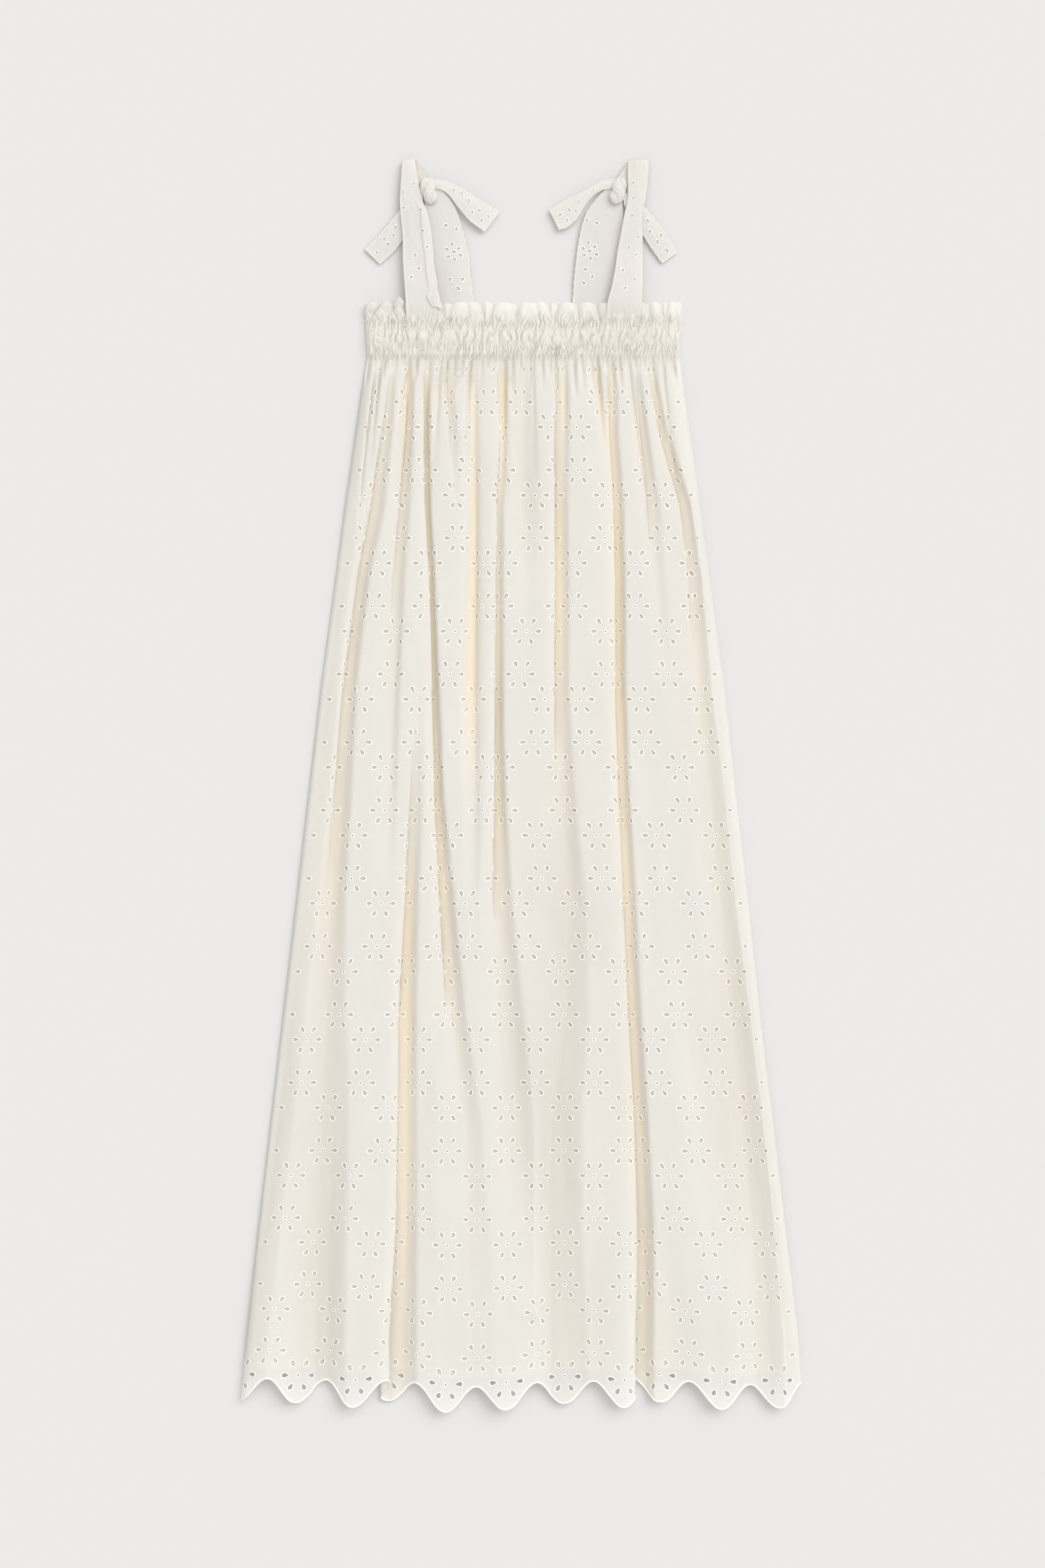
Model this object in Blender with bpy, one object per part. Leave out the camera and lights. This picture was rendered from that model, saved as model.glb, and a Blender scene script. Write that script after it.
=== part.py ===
# Sleeveless eyelet-cloth midi dress with tie straps, laid flat on a surface.
# Units are metres, with +X to the right, +Y towards the neckline and +Z up. The tables are in millimetres:
# "down" is the distance below the tops of the folded straps, and x is the distance from the centre line.
import bmesh
import bpy
import math
import numpy as np
from mathutils import Vector
from mathutils.geometry import delaunay_2d_cdt

MM = 0.001
LENGTH = 1200.0          # strap fold to the lowest scallop
CUT_WIDTH = 610.0        # width of each body panel before it is gathered
WALL = 1.2               # thickness of the cloth walls
SEAM_GAP = 0.3           # air between pieces that touch
FLOOR_GAP = WALL + SEAM_GAP + WALL / 2

HEADING_TOP = 141.0      # frill above the elastic
ELASTIC_TOP = 156.0
CHANNEL_TOP = 166.0
CHANNEL_END = 180.0
ELASTIC_END = 191.0
HEM_TIP = 1196.0         # down to a scallop tip, before its own drop
SCALLOP_DEPTH = 23.0
PUFFS = 46               # gathers in the shirred channel
FINE_STEP = 0.5          # spacing of the points along a row of folds before it is rounded
FOLD_ROUNDING = 4        # rounding of the folds, in those steps
MIDDLE_X = 1.15          # x and down of the middle of the whole, which the frame's origin is under
MIDDLE_DOWN = 603.35

# Outline of the front: down, left x, right x
OUTLINE = (
    (136, -149, 154), (165, -149, 154), (191, -147, 152), (230, -153, 157), (279, -160, 164),
    (334, -168, 172), (404, -177, 181), (508, -191, 195), (611, -203, 206), (715, -215, 218),
    (819, -227, 229), (923, -239, 242), (1027, -251, 254), (1131, -262, 266), (1200, -269, 270),
)
# Levels at which the folds are measured, and the height of the cloth's ridges there
LEVELS = (196, 265, 334, 404, 508, 611, 715, 819, 923, 1027, 1131)
RIDGES = (6.5, 7.5, 8.5, 9.0, 9.5, 10.0, 10.5, 11.5, 12.5, 13.5, 15.0)
DEPTHS = (4.0, 5.0, 6.0, 6.5, 7.0, 7.5, 8.0, 9.0, 10.0, 11.0, 12.5)
# Folds from left to right. Each row is a fold: at each level the x of its foot, the width of the rise to its
# right, and its strength; last, the cloth tucked under it at the hem.
FOLDS = (
    ("left_outer", (-122, -130, -140, -153, -167, -175, -184, -187, -193, -203, -207),
     (3, 7, 10, 8, 10, 13, 16, 17, 28, 24, 23), (.5, .7, .8, .8, .8, .9, .9, 1, 1, 1, 1), 0),
    ("left_high", (-106, -108, -113, -119, -123, -126, -130, -134, -138, -142, -146),
     (5, 6, 10, 9, 5, 7, 7, 7, 7, 7, 7), (.7, .9, 1, 1, .8, .3, 0, 0, 0, 0, 0), 0),
    ("left_deep", (-98, -99, -100, -101, -99, -103, -109, -115, -116, -118, -124),
     (5, 5, 5, 5, 10, 16, 19, 24, 24, 19, 23), (0, 0, 0, 0, 0, .8, 1, 1, 1, 1, 1), 40),
    ("left_inner", (-91, -91, -90, -86, -83, -81, -75, -67, -54, -51, -49),
     (5, 6, 5, 5, 5, 9, 16, 13, 13, 19, 28), (.7, .8, .8, .8, .8, .9, 1, .9, .8, .6, .25), 0),
    ("pinch", (-70, -66, -63, -60, -60, -58, -56, -50, -40, -36, -34),
     (4, 5, 4, 4, 4, 4, 4, 4, 4, 4, 4), (.7, .5, .1, 0, 0, 0, 0, 0, 0, 0, 0), 0),
    ("middle_left", (-54, -50, -49, -54, -56, -52, -48, -42, -36, -32, -30),
     (8, 6, 8, 12, 16, 7, 6, 6, 6, 6, 6), (.7, .8, .9, 1, .9, .4, 0, 0, 0, 0, 0), 0),
    ("middle", (-21, -18, -21, -22, -23, -23, -23, -16, -3, 2, 4),
     (7, 3, 3, 3, 5, 8, 17, 20, 17, 12, 10), (.8, .4, .6, .6, .7, .8, .9, .9, .5, .1, 0), 0),
    ("middle_high", (3, 1, 1, 2, 4, 5, 10, 12, 16, 16, 18),
     (7, 21, 19, 12, 6, 5, 5, 5, 5, 5, 5), (.6, .7, .6, .2, 0, 0, 0, 0, 0, 0, 0), 0),
    ("middle_right", (41, 35, 35, 35, 36, 38, 50, 41, 21, 24, 23),
     (14, 10, 10, 10, 8, 14, 13, 22, 30, 29, 35), (.7, .8, .9, .9, .8, .8, .8, .6, .8, .9, .9), 0),
    ("right_deep", (86, 86, 90, 92, 92, 95, 100, 104, 110, 113, 113),
     (4, 6, 6, 5, 12, 20, 21, 24, 28, 34, 34), (.7, .8, .8, .8, .9, 1, 1, 1, 1, 1, 1), 30),
    ("right_high", (110, 116, 124, 128, 140, 150, 160, 170, 180, 190, 195),
     (3, 6, 9, 9, 5, 5, 5, 5, 5, 5, 5), (.5, .7, .5, .2, 0, 0, 0, 0, 0, 0, 0), 0),
    ("right_outer", (122, 135, 155, 164, 169, 180, 190, 200, 210, 225, 230),
     (4, 5, 5, 7, 14, 13, 11, 18, 20, 21, 26), (.7, .8, .8, .8, .5, .8, .8, .9, .9, .8, .5), 0),
)
# Clefts between the frill's waves, x along the heading
CLEFTS = (-150, -142, -132, -126, -114, -101, -83, -68, -52, -39, -27, -5, 10, 26, 35, 53, 71, 86, 104,
          119, 135, 155)
# Drop of each scallop's tip below HEM_TIP, from left to right; the first tip is at the left edge
SCALLOP_DROPS = (-6, -5, -1, -6, 4, 1, -4, -1, -6, 1, 0)
SCALLOPS = len(SCALLOP_DROPS) - 0.5
SCALLOP_PITCH = CUT_WIDTH / SCALLOPS

# Eyelet flowers: six petals round a centre, in upright pairs that alternate from column to column
PETAL_RADIUS = 12.6
PETAL_LENGTH = 6.0
PETAL_WIDTH = 4.4
PAIR_SPACING = 41.0
REPEAT_DOWN = 130.0
TIP_PAIR_DOWN = 1193.0   # centre of the lowest pair in the tip columns, whose lower flower is past the hem
FRONT_HOLES = 236

# Straps: each row is a section: left x, left down, left z, right x, right down, right z
STRAP_FRONT_LEFT = (
    (-111, 155, 9.3, -80, 155, 9.3), (-110, 143, 11.4, -79, 141, 11.4), (-111, 128, 11.6, -80, 122, 11.6),
    (-112, 114, 11.0, -83, 106, 11.2), (-113, 99, 10.0, -84, 90, 10.0), (-113, 77, 9.0, -86, 71, 9.6),
    (-115, 58, 8.6, -89, 55, 9.6), (-116, 44, 8.2, -98, 42, 8.6), (-115, 26, 7.6, -100, 25, 8.0),
    (-114, 10, 7.0, -101, 8, 7.0), (-113, 2.0, 5.0, -102, 1.0, 5.0), (-112, 5, 3.0, -100, 4, 3.0),
    (-107, 14, 2.6, -95, 11, 2.6), (-99, 24, 4.4, -90, 19, 4.8),
)
STRAP_FRONT_RIGHT = (
    (82, 155, 9.3, 115, 155, 9.3), (82, 142, 11.4, 115, 142, 11.4), (87, 124, 11.6, 116, 124, 11.6),
    (90, 108, 11.2, 116, 108, 11.0), (92, 92, 10.0, 116, 92, 10.0), (96, 72, 9.4, 116, 74, 9.4),
    (99, 54, 9.4, 115, 53, 9.0), (104, 44, 8.6, 120, 42, 8.2), (104, 26, 7.8, 121, 25, 7.6),
    (102, 9, 7.0, 122, 8, 7.0), (103, 2.0, 5.0, 121, 1.5, 5.0), (102, 5, 3.0, 119, 5, 3.0),
    (98, 12, 2.6, 110, 14, 2.6), (95, 19, 4.8, 103, 24, 4.4),
)
STRAP_BACK_LEFT = (
    (-78, 163, 1.95, -44, 163, 1.95), (-77, 150, 2.4, -45, 150, 2.3), (-76, 136, 2.8, -45, 136, 2.6),
    (-78, 118, 4.0, -48, 114, 3.6), (-79, 100, 4.2, -49, 100, 3.6), (-80, 84, 4.4, -52, 84, 4.0),
    (-81, 68, 4.8, -56, 68, 4.2), (-84, 55, 5.2, -61, 54, 4.6), (-86, 49, 6.0, -71, 44, 5.2),
)
STRAP_BACK_RIGHT = (
    (47, 163, 1.95, 76, 163, 1.95), (47, 150, 2.3, 77, 150, 2.4), (49, 136, 2.6, 77, 136, 2.8),
    (50, 118, 3.6, 79, 118, 4.0), (52, 100, 3.6, 80, 100, 4.2), (54, 84, 4.0, 83, 84, 4.4),
    (57, 68, 4.2, 85, 68, 4.8), (62, 54, 4.6, 88, 55, 5.2), (73, 44, 5.2, 91, 49, 6.0),
)
TIE_INNER_LEFT = (
    (-79, 24, 8.0, -78, 46, 7.8), (-70, 24, 7.6, -66, 44, 7.2), (-58, 30, 6.8, -59, 51, 6.6),
    (-44, 38, 6.0, -50, 62, 6.8), (-32, 46, 5.2, -42, 68, 6.6), (-20, 53, 4.6, -35, 73, 5.6),
)
TIE_INNER_RIGHT = (
    (83, 46, 7.8, 84, 24, 8.0), (72, 44, 7.2, 74, 26, 7.6), (60, 50, 6.6, 60, 33, 6.8),
    (53, 61, 6.8, 48, 38, 6.0), (44, 69, 6.4, 37, 44, 5.2), (36, 71, 5.4, 26, 50, 4.6),
)
TIE_OUTER_LEFT = (
    (-98, 44, 6.2, -101, 60, 6.4), (-108, 50, 5.4, -107, 70, 5.6), (-116, 58, 4.2, -112, 79, 4.2),
    (-132, 71, 3.0, -122, 92, 3.4), (-150, 88, 2.4, -136, 103, 3.0),
)
TIE_OUTER_RIGHT = (
    (103, 60, 6.4, 104, 44, 6.2), (110, 69, 5.6, 113, 46, 5.4), (117, 78, 4.2, 121, 54, 4.2),
    (126, 91, 3.4, 137, 71, 3.0), (136, 103, 3.0, 149, 92, 2.4),
)
# Knots: centre x, centre down, half width, half length, base z, height, lean in degrees
KNOTS = {"knot_left": (-87, 34.5, 7.2, 13.5, 3.0, 10.4, 8), "knot_right": (92, 34.5, 7.2, 13.5, 3.0, 10.4, -8)}


def smooth_line(values, steps):
    """A running average with soft ends."""
    kernel = np.exp(-0.5 * (np.arange(-3 * steps, 3 * steps + 1) / max(steps, 1e-6)) ** 2)
    kernel /= kernel.sum()
    padded = np.concatenate([2 * values[0] - values[3 * steps:0:-1], values,
                             2 * values[-1] - values[-2:-3 * steps - 2:-1]])
    return np.convolve(padded, kernel, "valid")


def column(table, index):
    return [row[index] for row in table]


def edge_at(down, side):
    return float(np.interp(down, column(OUTLINE, 0), column(OUTLINE, side)))


def ridge_height(down):
    return float(np.interp(down, LEVELS, RIDGES))


def fold_points(down):
    """Corner points (cloth distance, x, z) of one row of the front, left to right."""
    left, right = edge_at(down, 1), edge_at(down, 2)
    top = ridge_height(down)
    depth = float(np.interp(down, LEVELS, DEPTHS))
    fade = float(np.interp(down, (185, 245), (0.0, 1.0)))
    rows = []
    for name, feet, rises, strengths, hem_tuck in FOLDS:
        strength = float(np.interp(down, LEVELS, strengths)) * fade
        if strength > 0.02:
            foot = float(np.interp(down, LEVELS, feet))
            rise = float(np.interp(down, LEVELS, rises))
            rows.append([foot, foot + max(rise, 3.0), strength, hem_tuck])
    rows.sort()
    points = [(left, FLOOR_GAP), (left + 0.4, FLOOR_GAP + 0.45 * (top - FLOOR_GAP)),
              (left + 2.5, FLOOR_GAP + 0.8 * (top - FLOOR_GAP)), (left + 8.0, top)]
    tucks = [0] * 4
    for foot, shoulder, strength, hem_tuck in rows:
        fall = depth * strength
        reach = min(1.0, strength * 1.4)
        points += [(foot - 9.0 * reach, top - 0.10 * fall), (foot - 3.0 * reach, top - 0.24 * fall),
                   (foot - 0.5, top - 0.50 * fall), (foot, top - 0.78 * fall), (foot + 0.6, top - fall),
                   (foot + 0.5 * (shoulder - foot), top - 0.62 * fall), (shoulder, top)]
        share = float(np.interp(down, (715, 1131), (strength, hem_tuck / 30.0)))
        tucks += [0, 0, 0, share, 0, 0, 0]
    points += [(right - 8.0, top), (right - 2.5, FLOOR_GAP + 0.8 * (top - FLOOR_GAP)),
               (right - 0.4, FLOOR_GAP + 0.45 * (top - FLOOR_GAP)), (right, FLOOR_GAP)]
    tucks += [0] * 4
    flat = np.array(points)
    flat[1:, 0] = np.maximum.accumulate(flat[1:, 0] - np.arange(len(flat) - 1) * 0.05)
    flat[1:, 0] += np.arange(len(flat) - 1) * 0.05
    steps = np.hypot(*np.diff(flat, axis=0).T)
    hidden = max(0.0, CUT_WIDTH - steps.sum())
    share = np.array(tucks[1:], float)
    fold_part = float(np.interp(down, (200, 330), (0.15, 1.0)))
    if share.sum() > 0:
        steps = steps + hidden * fold_part * share / share.sum()
    steps = steps * CUT_WIDTH / steps.sum()
    return np.concatenate([[0.0], np.cumsum(steps)]), flat


class Front:
    """The front's middle surface, looked up by cloth distance s and by down."""

    def __init__(self):
        self.downs = np.arange(HEADING_TOP - 6, LENGTH + 8, 5.0)
        self.places = np.linspace(0, CUT_WIDTH, 761)
        grid = []
        for down in self.downs:
            distance, flat = fold_points(down)
            along = np.concatenate([[0.0], np.cumsum(np.hypot(*np.diff(flat, axis=0).T))])
            fine = np.linspace(0, along[-1], int(along[-1] / FINE_STEP))
            x = smooth_line(np.interp(fine, along, flat[:, 0]), FOLD_ROUNDING)
            z = smooth_line(np.interp(fine, along, flat[:, 1]), FOLD_ROUNDING)
            place = np.interp(fine, along, distance)
            grid.append(np.stack([np.interp(self.places, place, x), np.interp(self.places, place, z)], -1))
        self.grid = np.array(grid)

    def flat_at(self, s, down):
        """x and z before gathers, in millimetres, for arrays of s and down."""
        row = np.clip((down - self.downs[0]) / 5.0, 0, len(self.downs) - 1.001)
        place = np.clip(s / CUT_WIDTH * 760, 0, 759.999)
        i, j = row.astype(int), place.astype(int)
        a, b = (row - i)[:, None], (place - j)[:, None]
        g = self.grid
        return ((1 - a) * ((1 - b) * g[i, j] + b * g[i, j + 1])
                + a * ((1 - b) * g[i + 1, j] + b * g[i + 1, j + 1]))

    def at(self, s, down):
        xz = self.flat_at(s, down)
        sag = np.interp(s, np.arange(len(SCALLOP_DROPS)) * SCALLOP_PITCH, SCALLOP_DROPS)
        shown_down = down + sag * np.clip((down - 900) / 250, 0, 1) ** 2
        side = np.clip(np.minimum(s, CUT_WIDTH - s) / 25.0, 0, 1)
        x, z = xz[:, 0], xz[:, 1]
        z = z + side * heading_wave(x, down)
        z = z + side * gathers(s, down)
        return np.stack([x - MIDDLE_X, MIDDLE_DOWN - shown_down, np.maximum(z, FLOOR_GAP)], -1)

    def points(self, s, down, raised):
        """Points moved out by half the wall, up (+1) or down (-1), with the channel's puffs on the outer side."""
        p = self.at(s, down)
        across = self.at(np.minimum(s + 1.0, CUT_WIDTH), down) - self.at(np.maximum(s - 1.0, 0), down)
        along = self.at(s, down + 3.0) - self.at(s, down - 3.0)
        normal = np.cross(along, across)
        normal /= np.linalg.norm(normal, axis=1)[:, None]
        moved = p + normal * WALL / 2 * raised
        if raised > 0:
            moved[:, 2] += puffs(s, down)
        return moved


def heading_wave(x, down):
    """The frill's waves, highest at its free edge and pinched in at the elastic."""
    wave = np.zeros_like(x)
    for a, b in zip(CLEFTS, CLEFTS[1:]):
        inside = (x >= a) & (x < b)
        wave[inside] = np.sin(np.pi * (x[inside] - a) / (b - a)) ** 0.8
    lift = np.interp(down, (HEADING_TOP, ELASTIC_TOP - 2, ELASTIC_TOP + 3), (1.0, 0.45, 0.0))
    return (wave * 4.4 - 1.0) * lift


def gathers(s, down):
    """The fine gathers that leave the elastic and die out down the skirt."""
    fade = np.interp(down, (ELASTIC_END - 2, ELASTIC_END + 8, 235, 280), (0.0, 1.0, 0.4, 0.0))
    return 1.3 * fade * np.sin(2 * np.pi * s / CUT_WIDTH * 30 + 2.5 * np.sin(s / 41.0))


def puffs(s, down):
    """Puffs of the shirred channel, between the two bands of elastic."""
    rows = np.interp(down, (ELASTIC_TOP, CHANNEL_TOP, CHANNEL_TOP + 5, CHANNEL_END - 5, CHANNEL_END, ELASTIC_END),
                     (0.4, 0.5, 1.9, 1.9, 0.5, 0.4))
    rows = np.where((down < ELASTIC_TOP - 1) | (down > ELASTIC_END + 1), 0.0, rows)
    phase = s / CUT_WIDTH * PUFFS + (CHANNEL_END - down) / 30.0
    return rows * np.abs(np.sin(np.pi * phase)) * np.clip(np.minimum(s, CUT_WIDTH - s) / 12.0, 0, 1)


def hem_line(s):
    """Down of the scalloped edge at cloth distance s."""
    phase = 2 * math.pi * s / SCALLOP_PITCH
    return HEM_TIP - SCALLOP_DEPTH * (0.5 - 0.5 * np.cos(phase)) ** 0.85


def petal(centre_s, centre_down, angle):
    """Four corners of a teardrop eyelet, narrow end inwards."""
    out = (math.sin(angle), -math.cos(angle))
    side = (-out[1], out[0])
    shape = ((-0.5, 0.0), (0.12, 0.5), (0.5, 0.0), (0.12, -0.5))
    return [(centre_s + out[0] * (PETAL_RADIUS + a * PETAL_LENGTH) + side[0] * b * PETAL_WIDTH,
             centre_down + out[1] * (PETAL_RADIUS + a * PETAL_LENGTH) + side[1] * b * PETAL_WIDTH)
            for a, b in shape]


def flowers(top, bottom):
    """Centres (s, down) of the flowers between two levels."""
    found = []
    for index in range(2 * len(SCALLOP_DROPS)):
        s = index * SCALLOP_PITCH / 2
        pair = TIP_PAIR_DOWN - (REPEAT_DOWN / 2 if index % 2 else 0)
        while pair > top - REPEAT_DOWN:
            for down in (pair - PAIR_SPACING / 2, pair + PAIR_SPACING / 2):
                reach = PETAL_RADIUS + PETAL_LENGTH
                if top + reach < down < bottom and reach < s < CUT_WIDTH - reach:
                    found.append((s, down))
            pair -= REPEAT_DOWN
    return sorted(found, key=lambda f: (-f[1], f[0]))


def eyelets(front, most, from_down):
    """Petal holes, lowest flowers first, leaving out those that a fold hides or squashes."""
    holes = []
    for s, down in flowers(from_down, HEM_TIP - 22):
        angles = [math.radians(a) for a in (90, 270, 30, 330, 150, 210)]
        for angle in angles if down > 1000 else angles[:2]:
            ring = petal(s, down, angle)
            array = np.array(ring)
            p = front.at(array[:, 0], array[:, 1])
            open_width = np.ptp(p[:, 0]), np.ptp(p[:, 1]), np.ptp(p[:, 2])
            if min(open_width[:2]) > 0.72 * PETAL_WIDTH and open_width[2] < 2.5:
                holes.append(ring)
            if len(holes) == most:
                return holes
    return holes


def inside_ring(points, ring, margin):
    """True for each point within margin of a hole."""
    centre = np.mean(ring, axis=0)
    reach = max(np.hypot(*(np.array(ring) - centre).T)) + margin
    return np.hypot(*(points - centre).T) < reach


def cloth_sheet(outline, inner, holes, squeeze):
    """Flat triangles (vertices, faces) of a cut with holes, from Delaunay's method on the squeezed cut."""
    inner = np.array(inner)
    keep = np.ones(len(inner), bool)
    for ring in holes:
        keep &= ~inside_ring(inner, ring, 1.5)
    inner = inner[keep]
    points = [tuple(p) for p in outline] + [tuple(p) for ring in holes for p in ring] + [tuple(p) for p in inner]
    faces, start = [list(range(len(outline)))], len(outline)
    for ring in holes:
        ring_numbers = list(range(start, start + len(ring)))
        turning = sum(a[0] * b[1] - b[0] * a[1] for a, b in zip(ring, ring[1:] + ring[:1]))
        faces.append(ring_numbers if turning > 0 else ring_numbers[::-1])
        start += len(ring)
    flat = [Vector((p[0], p[1] * squeeze)) for p in points]
    verts, _, tris, _, _, origin = delaunay_2d_cdt(flat, [], faces, 1, 1e-5)
    kept = [t for t, o in zip(tris, origin) if 0 in o and not any(k > 0 for k in o)]
    used = sorted({v for t in kept for v in t})
    number = {v: i for i, v in enumerate(used)}
    places = np.array([(verts[v][0], verts[v][1] / squeeze) for v in used])
    return places, [tuple(number[v] for v in t) for t in kept]


def closed_wall(name, upper, lower, faces, colour, roughness=0.9):
    """One closed body from an upper and a lower copy of a triangulated sheet, in millimetres."""
    count = len(upper)
    edges = {}
    for a, b, c in faces:
        for edge in ((a, b), (b, c), (c, a)):
            edges[edge] = edges.get(edge, 0) + 1
    rim = [edge for edge in edges if (edge[1], edge[0]) not in edges]
    everything = [tuple(f) for f in faces] + [(c + count, b + count, a + count) for a, b, c in faces]
    for a, b in rim:
        everything.append((b, a, a + count))
        everything.append((b, a + count, b + count))
    mesh = bpy.data.meshes.new(name)
    mesh.from_pydata([tuple(p * MM) for p in np.vstack([upper, lower])], [], everything)
    bm = bmesh.new()
    bm.from_mesh(mesh)
    bmesh.ops.recalc_face_normals(bm, faces=bm.faces)
    if bm.calc_volume(signed=True) < 0:
        bmesh.ops.reverse_faces(bm, faces=bm.faces)
    bm.to_mesh(mesh)
    bm.free()
    body = bpy.data.objects.new(name, mesh)
    bpy.context.scene.collection.objects.link(body)
    material = bpy.data.materials.new(name)
    material.use_nodes = True
    shader = material.node_tree.nodes["Principled BSDF"]
    shader.inputs["Base Color"].default_value = (*colour, 1.0)
    shader.inputs["Roughness"].default_value = roughness
    shader.inputs["Metallic"].default_value = 0.0
    mesh.materials.append(material)
    return body


IVORY = (0.86, 0.83, 0.76)


def hem_outline(places, down_of):
    """The scalloped edge as points (place, down)."""
    return [(s, float(down_of(s))) for s in places]


def make_front():
    front = Front()
    top_rows = (HEADING_TOP + 6, ELASTIC_TOP - 2, ELASTIC_TOP + 3, CHANNEL_TOP,
                CHANNEL_TOP + 5, CHANNEL_END - 4, CHANNEL_END + 1, ELASTIC_END + 3)
    side_rows = list(top_rows) + list(np.linspace(225, HEM_TIP - SCALLOP_DEPTH - 30, 18))
    head = np.linspace(0, CUT_WIDTH, 58)
    hem = np.linspace(0, CUT_WIDTH, int(SCALLOPS * 6) + 1)
    outline = [(s, HEADING_TOP + 1.5 * math.sin(s / 9.0) + 1.0 * math.sin(s / 23.0)) for s in head]
    outline += [(CUT_WIDTH, down) for down in side_rows]
    outline += hem_outline(hem[::-1], hem_line)
    outline += [(0.0, down) for down in side_rows[::-1]]
    inner = []
    for number, down in enumerate(top_rows):
        across = 2 * PUFFS if CHANNEL_TOP < down < CHANNEL_END else PUFFS + 4
        offset = 0.5 if number % 2 else 0.25
        inner += [(CUT_WIDTH * (k + offset) / across, down) for k in range(1, across - 1)]
    for down in np.linspace(225, HEM_TIP - 16, 17):
        distance, flat = fold_points(down)
        wide = np.diff(distance)
        for k in range(1, len(distance) - 1):
            near = wide[k - 1] < 1.5
            if not near and 4 < distance[k] < CUT_WIDTH - 4 and down < hem_line(distance[k]) - 5:
                inner.append((distance[k], down))
            middle = 0.5 * (distance[k] + distance[k + 1]) if k + 1 < len(distance) else 0
            if wide[k] > 22 and down < hem_line(middle) - 5:
                inner.append((middle, down))
    holes = eyelets(front, FRONT_HOLES, 330)
    places, faces = cloth_sheet(outline, inner, holes, 0.4)
    upper = front.points(places[:, 0], places[:, 1], 1)
    lower = front.points(places[:, 0], places[:, 1], -1)
    lower[:, 2] = np.maximum(lower[:, 2], WALL + SEAM_GAP)
    closed_wall("front_panel", upper, lower, faces, IVORY)
    print("front", len(places), "points", len(holes), "eyelets")


def back_edge(down, side):
    return edge_at(down, side) + (2.5 if side == 1 else -2.5)


def make_back():
    """The back lies flat below: its underside is the resting face."""
    top, tip = 157.0, 1170.0
    rows = np.linspace(top, tip - 22, 22)
    hem = np.linspace(0, 1, int(SCALLOPS * 6) + 1)
    outline = [(back_edge(top, 1) * (1 - k) + back_edge(top, 2) * k, top) for k in np.linspace(0, 1, 12)]
    outline += [(back_edge(down, 2), down) for down in rows[1:-1]]
    for k in hem[::-1]:
        down = tip - 20.0 * (0.5 + 0.5 * math.cos(2 * math.pi * k * SCALLOPS)) ** 0.85
        outline.append((back_edge(down, 1) * (1 - k) + back_edge(down, 2) * k, down))
    outline += [(back_edge(down, 1), down) for down in rows[1:-1][::-1]]
    inner = [(back_edge(down, 1) * (1 - k) + back_edge(down, 2) * k, down)
             for down in rows[1:-1:2] for k in np.linspace(0, 1, 10)[1:-1]]
    holes = []
    for index in range(len(SCALLOP_DROPS) - 1):
        k = (index + 1.0) / (SCALLOPS + 0.5)
        x = back_edge(1110, 1) * (1 - k) + back_edge(1110, 2) * k
        for angle in (90, 270, 30, 330):
            holes.append(petal(x, 1110.0, math.radians(angle)))
    places, faces = cloth_sheet(outline, inner, holes, 1.0)
    xy = np.stack([places[:, 0] - MIDDLE_X, MIDDLE_DOWN - places[:, 1]], -1)
    crease = 0.25 * np.sin(places[:, 0] / 11.0 + places[:, 1] / 90.0)
    rim = np.zeros(len(places))
    upper = np.column_stack([xy, rim + WALL - 0.25 + crease])
    lower = np.column_stack([xy, rim])
    closed_wall("back_panel", upper, lower, faces, IVORY)


def ribbon(name, sections, wall, roll, across=6, ripple=0.5):
    """A strap or tie end through its sections: a bowed strip with rolled edges and a lengthwise pleat."""
    table = np.array(sections, float)
    steps = np.concatenate([[0], np.cumsum(np.linalg.norm(np.diff(table[:, :3], axis=0), axis=1))])
    fine = np.linspace(0, steps[-1], 2 * len(table) - 1)
    smooth = np.column_stack([smooth_line(np.interp(fine, steps, table[:, k]), 1) for k in range(6)])
    smooth[0], smooth[-1] = table[0], table[-1]
    left, right = smooth[:, :3].copy(), smooth[:, 3:].copy()
    for side in (left, right):
        side[:, 0] -= MIDDLE_X
        side[:, 1] = MIDDLE_DOWN - side[:, 1]
    rows = []
    for number, (a, b) in enumerate(zip(left, right)):
        along = np.gradient((left + right) / 2, axis=0)[number]
        normal = np.cross(b - a, along)
        normal /= np.linalg.norm(normal)
        row = []
        for k in range(across + 1):
            t = k / across
            bow = roll * math.sin(math.pi * t) ** 0.7 + ripple * math.sin(3 * math.pi * t + number * 0.25)
            row.append((a + (b - a) * t, normal, bow))
        rows.append(row)
    turned = 1 if rows[0][0][1][2] >= 0 else -1
    upper = np.array([p + n * turned * (wall / 2 + bow) for row in rows for p, n, bow in row])
    lower = np.array([p + n * turned * (-wall / 2 + 0.4 * bow) for row in rows for p, n, bow in row])
    width = across + 1
    faces = []
    for i in range(len(rows) - 1):
        for j in range(across):
            a = i * width + j
            faces += [(a, a + 1, a + width + 1), (a, a + width + 1, a + width)]
    return closed_wall(name, upper, lower, faces, IVORY)


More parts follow.
